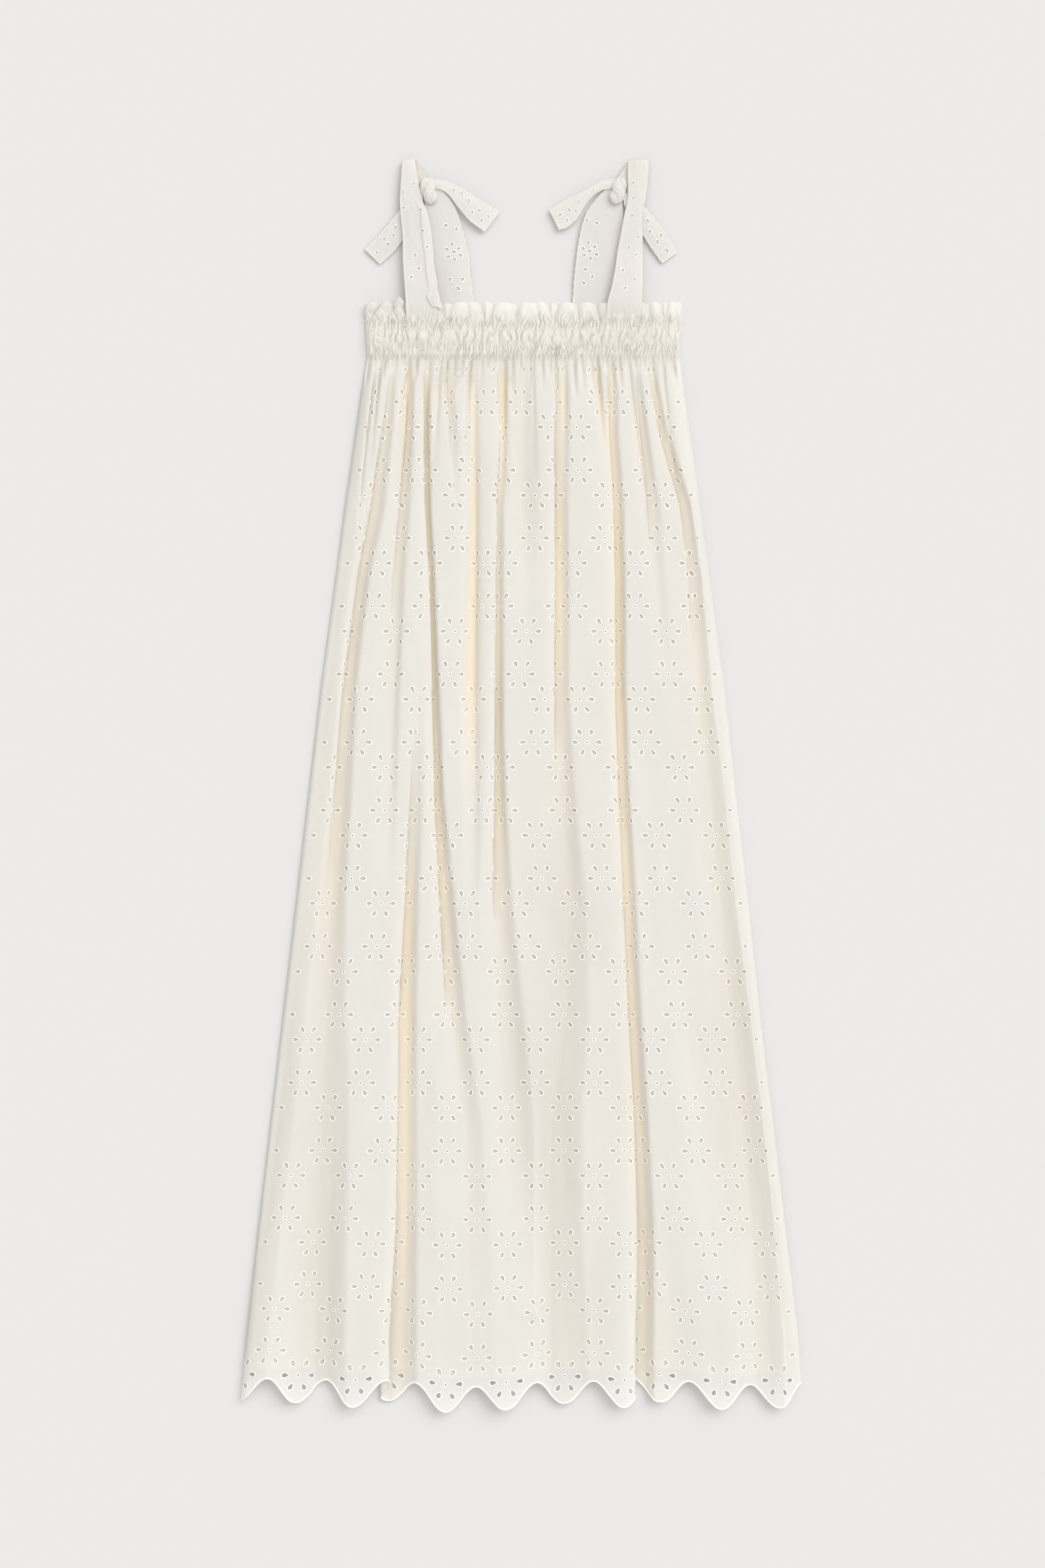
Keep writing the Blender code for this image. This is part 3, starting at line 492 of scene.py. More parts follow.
def cloth_sheet(outline, inner, rings, squeeze):
    """Flat triangles of a cut with holes, by Delaunay's method on the squeezed cut."""
    inner = np.array(inner)
    keep = np.ones(len(inner), bool)
    cells = {}
    for number, point in enumerate(inner):
        cells.setdefault((int(point[0] // CELL), int(point[1] // CELL)), []).append(number)
    for ring in rings:
        centre = ring.mean(axis=0)
        reach = np.hypot(*(ring - centre).T).max() + 0.7
        ci, cj = int(centre[0] // CELL), int(centre[1] // CELL)
        near = [n for i in (-1, 0, 1) for j in (-1, 0, 1) for n in cells.get((ci + i, cj + j), ())]
        near = np.array(near, int)
        if len(near):
            keep[near[np.hypot(*(inner[near] - centre).T) < reach]] = False
    inner = inner[keep]
    points = np.vstack([np.array(outline)] + list(rings) + [inner])
    loops, start = [list(range(len(outline)))], len(outline)
    for ring in rings:
        numbers = list(range(start, start + len(ring)))
        turning = np.sum(ring[:, 0] * np.roll(ring[:, 1], -1) - np.roll(ring[:, 0], -1) * ring[:, 1])
        loops.append(numbers if turning > 0 else numbers[::-1])
        start += len(ring)
    flat = [Vector((p[0], p[1] * squeeze)) for p in points]
    verts, _, tris, _, _, origin = delaunay_2d_cdt(flat, [], loops, 1, 1e-5)
    kept = np.array([t for t, o in zip(tris, origin) if 0 in o and len(o) == 1])
    used, flat_numbers = np.unique(kept, return_inverse=True)
    places = np.array([(verts[v][0], verts[v][1] / squeeze) for v in used])
    return places, flat_numbers.reshape(-1, 3)


def new_piece(name, points_mm, faces, material, smooth=True, uv=None, painted_fold_shade=None):
    """A mesh object from points in millimetres, riding on the part's only body. The last argument gives each
    point's painted shade, in a sharp fold and in a soft one, from 0 to 1."""
    mesh = bpy.data.meshes.new(name)
    mesh.from_pydata((np.asarray(points_mm) * MM).tolist(), [], [tuple(int(v) for v in f) for f in faces])
    mesh.validate()
    if uv is not None:
        layer = mesh.uv_layers.new(name="cut")
        corner = np.zeros(len(mesh.loops), np.int32)
        mesh.loops.foreach_get("vertex_index", corner)
        layer.data.foreach_set("uv", (np.asarray(uv)[corner] * MM).ravel().astype(np.float32))
    painted_fold_shade = np.zeros((len(points_mm), 2)) if painted_fold_shade is None else painted_fold_shade
    # Painted shade, stored on each point for the materials to mix in
    for shade_attribute_name, depth in (("painted_fold_shade", painted_fold_shade[:, 0]), ("painted_soft_shade", painted_fold_shade[:, 1])):
        layer = mesh.attributes.new(shade_attribute_name, "FLOAT", "POINT")
        layer.data.foreach_set("value", depth.astype(np.float32))
    mesh.polygons.foreach_set("use_smooth", [smooth] * len(mesh.polygons))
    mesh.materials.append(material)
    piece = bpy.data.objects.new(name, mesh)
    bpy.context.scene.collection.objects.link(piece)
    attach(piece, "root")
    return piece


def facing_up(points, faces):
    """The faces, turned so that most look up."""
    p = np.asarray(points)
    f = np.asarray(faces)
    up = np.cross(p[f[:, 1]] - p[f[:, 0]], p[f[:, 2]] - p[f[:, 0]])[:, 2].sum()
    return f if up > 0 else f[:, ::-1]


# Materials

def fill(tree, node, inputs):
    """Sets a node's inputs, or links them where the value is another node's output."""
    for name, value in inputs.items():
        if isinstance(value, bpy.types.NodeSocket):
            tree.links.new(value, node.inputs[name])
        else:
            node.inputs[name].default_value = value
    return node


def add(tree, kind, inputs):
    return fill(tree, tree.nodes.new(kind), inputs)


def new_material(name, inputs):
    material = bpy.data.materials.new(name)
    material.use_nodes = True
    tree = material.node_tree
    return material, tree, fill(tree, tree.nodes["Principled BSDF"], inputs)


def mixed_with_painted_shade(tree, colour, deep, varied=None):
    """A colour mixed toward painted shade: warmer the deeper a point lies in its fold, and duller in a soft
    fold.
    """
    softly = tuple(part * share for part, share in zip(colour, SOFT_FOLD_PAINTED_SHADE))
    result = varied or (*colour, 1.0)
    for name, end in (("painted_fold_shade", deep), ("painted_soft_shade", softly)):
        depth = tree.nodes.new("ShaderNodeAttribute")
        depth.attribute_name = name
        blend = tree.nodes.new("ShaderNodeMix")
        blend.data_type = "RGBA"
        result = fill(tree, blend, {0: depth.outputs["Fac"], 6: result, 7: (*end, 1.0)}).outputs[2]
    return result


def uneven_tone(tree, places, colour, darkest, spread=(0.0, 1.0)):
    """The colour, a little darker in places."""
    ramp = add(tree, "ShaderNodeValToRGB", {"Fac": places})
    dark, full = ramp.color_ramp.elements
    dark.position, full.position = spread
    dark.color, full.color = (*[part * darkest for part in colour], 1.0), (*colour, 1.0)
    return ramp.outputs["Color"]


def cloth_material(name, colour, shade, through=0.48, puckers=0.0):
    """Woven cotton: fine crossed threads and slubs as bump, faint unevenness of tone, and some light through.
    Down in the folds, the colour and the light through it are mixed toward warmer colours: painted shade."""
    material, tree, shader = new_material(name, {
        "Roughness": 0.92, "Specular IOR Level": 0.25, "Sheen Weight": 0.15, "Sheen Roughness": 0.5,
        "Sheen Tint": (1.0, 0.98, 0.94, 1.0)})
    place = tree.nodes.new("ShaderNodeTexCoord").outputs["Object"]

    def threads(direction, scale):
        node = tree.nodes.new("ShaderNodeTexWave")
        node.bands_direction = direction
        inputs = {"Scale": scale, "Distortion": 1.2, "Detail": 2.0, "Vector": place}
        return fill(tree, node, inputs).outputs["Fac"]

    def blotches(scale, detail):
        inputs = {"Scale": scale, "Detail": detail, "Vector": place}
        return add(tree, "ShaderNodeTexNoise", inputs).outputs["Fac"]

    def total(first, second):
        node = add(tree, "ShaderNodeMath", {0: first, 1: second})
        node.operation = "ADD"
        return node.outputs[0]

    weave = total(total(threads("X", 560.0), threads("Y", 520.0)), blotches(900.0, 4.0))
    woven = add(tree, "ShaderNodeBump", {"Strength": 0.06, "Distance": 0.0003, "Height": weave})
    crumpled = add(tree, "ShaderNodeBump", {"Strength": 0.12 + puckers, "Distance": 0.0015,
                                            "Height": blotches(70.0, 3.0), "Normal": woven.outputs["Normal"]})
    normal = crumpled.outputs["Normal"]
    tone = uneven_tone(tree, blotches(14.0, 3.0), colour, 0.975, (0.3, 0.7))
    # Painted shade: warmer colours down in the folds and duller ones in soft folds, in the base colour and
    # the light through
    fill(tree, shader, {"Base Color": mixed_with_painted_shade(tree, colour, COTTON_PAINTED_FOLD_SHADE, tone), "Normal": normal})
    light = add(tree, "ShaderNodeBsdfTranslucent", {"Color": mixed_with_painted_shade(tree, shade, THROUGH_PAINTED_FOLD_SHADE),
                                                    "Normal": normal})
    mix = add(tree, "ShaderNodeMixShader", {"Fac": through, 1: shader.outputs["BSDF"],
                                            2: light.outputs["BSDF"]})
    fill(tree, tree.nodes["Material Output"], {"Surface": mix.outputs["Shader"]})
    return material


def thread_material(name, colour, pitch):
    """Satin-stitched thread: close ridges over a smooth bright surface."""
    material, tree, shader = new_material(name, {"Roughness": 0.62, "Sheen Weight": 0.2})
    twist = add(tree, "ShaderNodeTexNoise", {"Scale": 1.0 / (pitch * MM), "Detail": 2.0, "Vector":
                tree.nodes.new("ShaderNodeTexCoord").outputs["Object"]}).outputs["Fac"]
    bump = add(tree, "ShaderNodeBump", {"Strength": 0.35, "Distance": 0.0003, "Height": twist})
    # Painted shade: the rims' colour turns warmer down in the folds, and duller in soft folds
    tone = mixed_with_painted_shade(tree, colour, THREAD_PAINTED_FOLD_SHADE, uneven_tone(tree, twist, colour, 0.96))
    fill(tree, shader, {"Base Color": tone, "Normal": bump.outputs["Normal"]})
    return material


COTTON = (0.91, 0.91, 0.90)
SHADE = (0.88, 0.86, 0.81)      # light that has come through the cloth
# Painted shade: warmer colours for the cloth and for the light through it, deep in the folds
COTTON_PAINTED_FOLD_SHADE = (0.965, 0.90, 0.785)
THROUGH_PAINTED_FOLD_SHADE = (0.97, 0.86, 0.64)
STRAP_COTTON = (0.885, 0.879, 0.872)
STRAP_SHADE = (0.865, 0.84, 0.79)
SOFT_FOLD_PAINTED_SHADE = (0.93, 0.905, 0.88)   # painted shade: how much darker and duller the colour is made in a soft fold
# The lining: cotton made darker and warmer as painted shade seen through the eyelets
LINING_AND_PAINTED_SHADE = (0.80, 0.745, 0.66)
THREAD = (0.83, 0.822, 0.80)
# Painted shade on the rims down in the folds
THREAD_PAINTED_FOLD_SHADE = (0.86, 0.80, 0.69)
cotton = cloth_material("eyelet_cotton", COTTON, SHADE)
strap_cotton = cloth_material("strap_cotton", STRAP_COTTON, STRAP_SHADE, puckers=0.1)
lining_cotton_painted_shade = cloth_material("lining_cotton_painted_shade", LINING_AND_PAINTED_SHADE, SHADE, through=0.4)
stitching = thread_material("embroidery_thread", THREAD, 0.5)


# The front panel

def softness_near(points):
    """How soft the fold is that lies nearest to each point."""
    x, down = points[:, 0] + MIDDLE_X, MIDDLE_DOWN - points[:, 1]
    table = []
    for level in range(len(LEVELS)):
        feet = sorted((fold[1][level] + fold[2][level] / 2, abs(fold[4][level])) for fold in FOLDS
                      if fold[3][level] > 0.25)
        table.append(np.interp(x, *zip(*feet)))
    place = np.clip(np.interp(down, LEVELS, range(len(LEVELS))), 0, len(LEVELS) - 1.001)
    low, each = place.astype(int), np.arange(len(points))
    table = np.array(table)
    return table[low, each] + (place - low) * (table[low + 1, each] - table[low, each])


def shade_painted_in_folds(points):
    """Painted shade for each point, by how deep it lies in a sharp fold and in a soft one: 0 on ridges, 1 on
    valley floors.
    """
    down = MIDDLE_DOWN - points[:, 1]
    ridge = np.interp(down, LEVELS, RIDGES)
    fall = (ridge - points[:, 2]) / np.interp(down, LEVELS, DEPTHS)
    soft = share_of(softness_near(points) / 12.0)
    inside = np.interp(down, (ELASTIC_END + 4, ELASTIC_END + 16, 800, 1131), (0.0, 1.0, 1.0, 0.5))
    # Painted shade also in the grooves of the shirred band, where the cloth lies low
    elastic = (ELASTIC_TOP - 6, ELASTIC_TOP, ELASTIC_END, ELASTIC_END + 12)
    grooves = np.interp(down, elastic, (0.15, 0.65, 0.65, 0.0))
    x = points[:, 0] + MIDDLE_X
    from_side = np.minimum(x - np.interp(down, column(OUTLINE, 0), column(OUTLINE, 1)),
                           np.interp(down, column(OUTLINE, 0), column(OUTLINE, 2)) - x)
    inside = inside * share_of((from_side - 6.0) / 10.0)
    grooves = grooves * share_of((from_side - 2.0) / 6.0)
    painted_warm_shade = np.maximum(inside * (1.0 - 0.85 * soft) * share_of((fall - 0.15) / 0.65) ** 1.2,
                        grooves * share_of((12.5 - points[:, 2]) / 6.0))
    return np.stack([painted_warm_shade, inside * soft * share_of(fall / 0.6)], -1)


def make_front(front):
    skirt_rows = np.arange(ELASTIC_END + 6, HEM_TIP - SCALLOP_DEPTH - 4, 8.0)
    head_rows = np.arange(HEADING_TOP + 2.2, ELASTIC_END + 5, 2.2)
    outline = [(s, HEADING_TOP) for s in np.linspace(0, CUT_WIDTH, 381)]
    outline += [(CUT_WIDTH, down) for down in list(head_rows) + list(skirt_rows)]
    outline += [(s, float(hem_line(s))) for s in np.linspace(CUT_WIDTH, 0, int(SCALLOPS * 36) + 1)]
    outline += [(0.0, down) for down in list(skirt_rows[::-1]) + list(head_rows[::-1])]
    inner = []
    for number, down in enumerate(head_rows):
        count = 600 if ELASTIC_TOP - 8 < down < ELASTIC_END + 5 else 360
        inner += [(CUT_WIDTH * (k + 0.25 + 0.5 * (number % 2)) / count, down) for k in range(1, count - 1)]
    close_rows = np.arange(ELASTIC_END + 6, CLOSE_END, 4.0)
    for number, down in enumerate(np.concatenate([close_rows, np.arange(CLOSE_END, HEM_TIP - 1, 8.0)])):
        count = 420 if down < CLOSE_END else 300
        for k in range(1, count - 1):
            s = CUT_WIDTH * (k + 0.25 + 0.5 * (number % 2)) / count
            if down < hem_line(s) - 2.5:
                inner.append((s, down))
    centres = flowers(ELASTIC_TOP + 10, HEM_TIP - 18, CUT_WIDTH)
    makers = holes_of(centres, 3, CUT_WIDTH - 3, ELASTIC_END + 6, HEM_TIP - 8)
    rings = [maker(0.0) for maker in makers]
    places, faces = cloth_sheet(outline, inner, rings, 0.45)
    s, down = places[:, 0], places[:, 1]
    points = front.at(s, down)
    piece = new_piece("front_cloth", points, facing_up(points, faces), cotton, uv=places,
                      painted_fold_shade=shade_painted_in_folds(points))
    rim_points, rim_faces = rim_mesh(front, makers)
    rims = new_piece("front_eyelet_rims", rim_points, rim_faces, stitching, painted_fold_shade=shade_painted_in_folds(rim_points))
    edge = make_hem_edge("front_scallop_stitching", front)
    rows = make_stitch_rows("front_shirring_stitches", front)
    make_lining(front)
    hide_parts("front_panel")


def make_lining(front):
    """Plain cotton close behind the front's eyelets, ending above the hem, in a darker warm colour that is
    painted shade.
    """
    columns = np.linspace(4, CUT_WIDTH - 4, 300)
    close_rows = np.arange(ELASTIC_END + 10, CLOSE_END, 4.0)
    rows = np.concatenate([close_rows, np.linspace(CLOSE_END, LINING_END, 76)])
    s, down = (grid.ravel() for grid in np.meshgrid(columns, rows))
    down = np.minimum(down, hem_line(s) - 5.0)
    points = raised(front, np.stack([s, down], -1), np.full(len(s), -LINING_GAP))
    points[:, 2] = np.maximum(points[:, 2], 1.5)
    faces = facing_up(points, grid_faces(len(rows), len(columns)))
    piece = new_piece("front_lining", points, faces, lining_cotton_painted_shade, painted_fold_shade=shade_painted_in_folds(points))


def rim_mesh(surface, makers, relief=1.0):
    """Whipped edges: a raised half-round cord round each eyelet."""
    loops = ((-0.3, -0.15), (-0.1, 0.28), (0.25, 0.34), (0.7, 0.02))
    places, heights, faces, start = [], [], [], 0
    for maker in makers:
        count = len(maker(0.0))
        for grow, height in loops:
            places.append(maker(grow))
            heights += [relief * height] * count
        faces += [(start + a, start + b, start + c) for a, b, c in grid_faces(len(loops), count, closed=True)]
        start += count * len(loops)
    points = raised(surface, np.vstack(places), np.array(heights))
    return points, facing_up(points, faces)


def make_hem_edge(name, front):
    """Satin stitch over the scalloped edge: a raised band whose threads run across it."""
    along = np.linspace(0.5, CUT_WIDTH - 0.5, int(SCALLOPS * 110))
    profile = ((0.35, -0.3), (0.25, 0.15), (-0.3, 0.32), (-0.8, 0.26), (-1.3, 0.02))
    thread = 0.08 * np.cos(np.arange(len(along)) * np.pi)
    down = hem_line(along)
    slope = np.gradient(down, along)
    length = np.hypot(1, slope)
    places = [np.stack([along - slope / length * out, down + out / length], -1) for out, _ in profile]
    points, faces = band(front, places, [height + thread * (height > 0.1) for _, height in profile])
    return new_piece(name, points, facing_up(points, faces), stitching)


def make_stitch_rows(name, front):
    """Running stitches that hold the elastic: short raised threads in rows round the band."""
    rows = (ELASTIC_TOP + 2, CHANNEL_TOP - 1, CHANNEL_END + 3, ELASTIC_END - 2)
    points, faces = [], []
    for down in rows:
        for number, s in enumerate(np.arange(6, CUT_WIDTH - 6, STITCH_STEP)):
            down_here = np.full(3, down + 0.12 * math.sin(number))
            line = np.stack([s + np.array([0.0, 0.5, 1.0]) * STITCH_LENGTH, down_here], -1)
            middle = front.at(line[:, 0], line[:, 1])
            normal = front.normals(line[:, 0], line[:, 1])
            start = len(points)
            for k, lift in enumerate((0.0, 0.15, 0.0)):
                for aside, up in ((-0.22, 0.0), (0.0, 0.2), (0.22, 0.0)):
                    points.append(middle[k] + normal[k] * (lift + up) + np.array([0, aside, 0]))
            for k in range(2):
                a = start + 3 * k
                faces += [(a, a + 1, a + 4), (a, a + 4, a + 3), (a + 1, a + 2, a + 5), (a + 1, a + 5, a + 4)]
    return new_piece(name, points, facing_up(points, faces), stitching)


# The back panel

def back_edge(down, side):
    return edge_at(down, side) + (BACK_INSET if side == 1 else -BACK_INSET)


def across_back(down, share):
    """x on the back at this share of its width, from the left."""
    return back_edge(down, 1) * (1 - share) + back_edge(down, 2) * share


def make_back():
    """The back, flat where it rests, with soft pressed folds on its upper face."""
    rows = np.arange(BACK_TOP + 6, BACK_TIP - 22, 9.0)
    outline = [(across_back(BACK_TOP, k), BACK_TOP) for k in np.linspace(0, 1, 60)]
    outline += [(back_edge(down, 2), down) for down in rows]
    for k in np.linspace(1, 0, int(SCALLOPS * 24) + 1):
        down = BACK_TIP - 20.0 * (0.5 + 0.5 * math.cos(2 * math.pi * k * SCALLOPS)) ** 1.1
        outline.append((across_back(down, k), down))
    outline += [(back_edge(down, 1), down) for down in rows[::-1]]
    inner = [(across_back(down, k), down) for down in rows for k in np.linspace(0, 1, 56)[1:-1]]
    left = back_edge(BACK_TIP, 1)
    width = back_edge(BACK_TIP, 2) - left
    makers = []
    for s, down in flowers(BACK_TOP + 30, HEM_TIP - 18, width, 24.0):
        centre = (s + left, down - 26)
        if back_edge(centre[1], 1) + 17 < centre[0] < back_edge(centre[1], 2) - 17:
            makers += holes_of([centre], -999, 999, BACK_TOP + 3, BACK_TIP - 4)
    places, faces = cloth_sheet(outline, inner, [maker(0.0) for maker in makers], 1.0)
    x, down = places[:, 0], places[:, 1]
    pressed = 0.12 * np.sin(x / 5.5 + 1.5 * np.sin(down / 130.0)) + 0.1 * MEDIUM.at(x / 14.0, down / 90.0)
    upper = placed(x, down, BACK_UPPER + pressed)
    lower = placed(x, down, np.full(len(x), BACK_LOWER))
    faces = facing_up(upper, faces)
    count = len(upper)
    edges = dict.fromkeys((face[k], face[(k + 1) % 3]) for face in faces for k in range(3))
    rim = [edge for edge in edges if (edge[1], edge[0]) not in edges]
    walls = [(b, a, a + count) for a, b in rim] + [(b, a + count, b + count) for a, b in rim]
    faces = np.vstack([faces, faces[:, ::-1] + count, walls])
    piece = new_piece("back_cloth", np.vstack([upper, lower]), faces, cotton, smooth=False)
    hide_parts("back_panel")


# Straps, tie ends and the frill's turned-over corners. For each strip: noise seed, turned edge (side, share
# of the width, from and to along it), gathered length at its foot, wavy edges in mm; then its edges as left
# x, left down, left z, right x, right down and right z; then its eyelets as x, down and turn in degrees.
STRIPS = {
    "strap_front_left": (41, (1, 0.3, 34, 128), 30, 0, (
        (-110, 170, 3.5, -83, 170, 3.5), (-110, 163, 8, -82, 163, 8), (-110, 153, 9.4, -80, 153, 9.4),
        (-110, 141, 11.4, -79, 140, 11.4), (-111, 128, 11.4, -80, 122, 11.4),
        (-112, 114, 10.6, -83, 106, 10.8), (-113, 99, 9.4, -84, 90, 9.6), (-113, 77, 8.4, -86, 71, 9.2),
        (-115, 58, 8, -89, 55, 9), (-116, 44, 7.6, -95, 42, 8.4), (-115, 26, 7.4, -98, 25, 8),
        (-114, 10, 7, -101, 8, 7), (-113, 2, 5, -102, 1, 5), (-112, 5, 3, -100, 4, 3),
        (-107, 14, 2.8, -95, 11, 2.8), (-98, 27, 5, -87, 21, 5.4)), (
        (-103, 27, 20), (-113, 35, 60), (-112, 50, 0), (-96, 52, 40), (-90, 88, 10), (-98, 108, -30),
        (-105, 117, 40), (-109, 122, -10), (-101, 96, 70), (-94, 72, -20))),
    "strap_front_right": (42, (-1, 0.24, 40, 120), 30, 0, (
        (84, 170, 3.5, 112, 170, 3.5), (83, 163, 8, 113, 163, 8), (82, 153, 9.4, 115, 153, 9.4),
        (82, 141, 11.4, 115, 141, 11.4), (87, 124, 11.4, 116, 124, 11.4), (90, 108, 10.8, 116, 108, 10.6),
        (92, 92, 9.6, 116, 92, 9.4), (96, 72, 9.2, 116, 74, 8.8), (99, 54, 9, 115, 53, 8.4),
        (102, 44, 8.4, 119, 42, 7.8), (102, 26, 7.8, 121, 25, 7.4), (102, 9, 7, 122, 8, 7),
        (103, 2, 5, 121, 1.5, 5), (102, 5, 3, 119, 5, 3), (98, 12, 2.8, 110, 14, 2.8),
        (92, 21, 5.4, 103, 27, 5)), (
        (107, 26, 0), (107, 41, 10), (106, 58, 0), (110, 95, 30), (97, 110, 0), (108, 119, -30),
        (99, 127, 40), (112, 78, 60), (103, 88, -40))),
    "strap_back_left": (43, None, 0, 0.7, (
        (-84, 163, 1.9, -44, 163, 1.9), (-84, 150, 2.2, -45, 150, 2.3), (-85, 136, 2.6, -45, 136, 2.6),
        (-87, 118, 3.4, -48, 114, 3.6), (-89, 100, 3.6, -49, 100, 3.6), (-91, 84, 3.8, -52, 84, 4),
        (-93, 68, 4.2, -56, 68, 4.2), (-94, 55, 4.6, -61, 52, 4.6), (-92, 44, 5, -68, 40, 5),
        (-90, 34, 5.2, -78, 30, 5.4)), (
        (-66, 84, 90), (-60, 88, 30), (-58, 95, -30), (-64, 99, 90), (-70, 96, 30), (-71, 89, -30),
        (-64.5, 91.5, 0), (-56, 118, 30), (-60, 126, -30), (-68, 118, 60), (-72, 66, 20), (-62, 70, 80))),
    "strap_back_right": (44, None, 0, 0.7, (
        (47, 163, 1.9, 84, 163, 1.9), (47, 150, 2.3, 85, 150, 2.2), (49, 136, 2.6, 87, 136, 2.6),
        (50, 118, 3.6, 90, 118, 3.4), (52, 100, 3.6, 93, 100, 3.6), (54, 84, 4, 96, 84, 3.8),
        (57, 68, 4.2, 98, 68, 4.2), (62, 53, 4.6, 98, 55, 4.6), (72, 40, 5, 97, 44, 5),
        (82, 30, 5.4, 94, 34, 5.2)), (
        (64, 83, 90), (70, 87, 30), (72, 94, -30), (66, 98, 90), (60, 95, 30), (59, 88, -30),
        (65.5, 90.5, 0), (61, 108, 10), (68, 116, 50), (60, 121, -30), (72, 64, 20), (63, 62, 80))),
    "tie_end_inner_left": (45, None, 0, 0.5, (
        (-86, 22, 7.6, -83, 31, 7.4), (-79, 22.5, 8, -76, 32, 7.6), (-70, 24.5, 7.8, -69, 37, 7.2),
        (-58, 30, 7, -60, 50, 6.6), (-44, 38, 6, -50, 62, 6.8), (-32, 46, 5.2, -42, 68, 6.6),
        (-20, 53, 4.6, -35, 73, 5.6)), (
        (-57, 36, 60), (-50, 43, 20), (-40, 52, -40), (-38, 62, 30), (-31, 58, 70), (-64, 33, 10),
        (-47, 54, 0))),
    "tie_end_inner_right": (46, None, 0, 0.5, (
        (88, 31, 7.4, 91, 22, 7.6), (77, 32.5, 7.6, 80, 22.5, 8), (69, 38, 7.2, 71, 27, 7.8),
        (61, 47, 6.6, 60, 33, 7), (55, 59, 6.8, 48, 38.5, 6), (44, 69.5, 6.4, 37, 44.5, 5.2),
        (36, 71, 5.6, 26, 51, 4.6)), (
        (62, 37, -60), (55, 44, -20), (46, 52, 40), (44, 62, -30), (36, 57, -70), (69, 33, -10),
        (52, 53, 0))),
    "tie_end_outer_left": (47, None, 0, 0.5, (
        (-93, 34, 6.4, -94, 46, 6.4), (-102, 41, 6, -103, 60, 6), (-109, 45, 5.4, -107, 69, 5.6),
        (-117, 52, 4.2, -112, 79, 4.2), (-132, 70, 3, -122, 92, 3.4), (-150, 89, 2.4, -135, 103.5, 3)), (
        (-122, 76, 30), (-127, 84, -20), (-120, 68, 80), (-131, 79, 20), (-138, 92, 60))),
    "frill_corner": (51, None, 0, 0, (
        (-90, 132, 12.2, -79, 128.5, 12), (-90, 138, 12.8, -78, 138, 12.6),
        (-84.5, 144.5, 12.2, -74, 147, 11.6)), ()),
    "frill_leaf_a": (52, None, 0, 0, (
        (-149.5, 152, 5, -146, 153, 5), (-148, 145, 9, -140, 148, 9.5),
        (-144, 139.5, 10.5, -136.5, 139, 10.5)), ()),
    "frill_leaf_b": (53, None, 0, 0, (
        (-139, 149, 6, -135, 153.5, 6), (-134, 143, 10.5, -129, 151, 9.5),
        (-128.5, 138.5, 11, -124, 142, 10.5)), ()),
    "frill_leaf_c": (54, None, 0, 0, (
        (-122, 142, 8, -117, 149, 7), (-119, 138, 11, -113, 146, 9.5),
        (-115.6, 134.5, 11.5, -111.5, 139, 11)), ()),
    "tie_end_outer_right": (48, None, 0, 0.7, (
        (98, 46, 6.4, 98, 34, 6.4), (106, 60, 6, 108, 39, 6), (111, 68, 5.6, 114, 43, 5.4),
        (117, 77, 4.2, 122, 52, 4.2), (126, 91, 3.4, 137, 70, 3), (135, 103, 3, 150, 92, 2.4)), (
        (123, 72, 30), (130, 82, -20), (121, 62, 80), (134, 76, 20), (139, 90, 60))),
}
STRAP_EYELET = (4.6, 3.4)
STRAP_PLIES = 0.9        # from the upper ply of a doubled strap to the lower one
STRAP_RELIEF = 1.8       # how much more their eyelets' rims stand up
# Knots: centre x, centre down, half width, half length, base z, height, lean in degrees
KNOTS = {"knot_left": (-88, 33.5, 6.5, 12.8, 2.6, 11.2, 14),
         "knot_right": (92.8, 33.5, 6.5, 12.8, 2.6, 11.2, -14)}
KNOT_RINGS, KNOT_AROUND = 90, 110


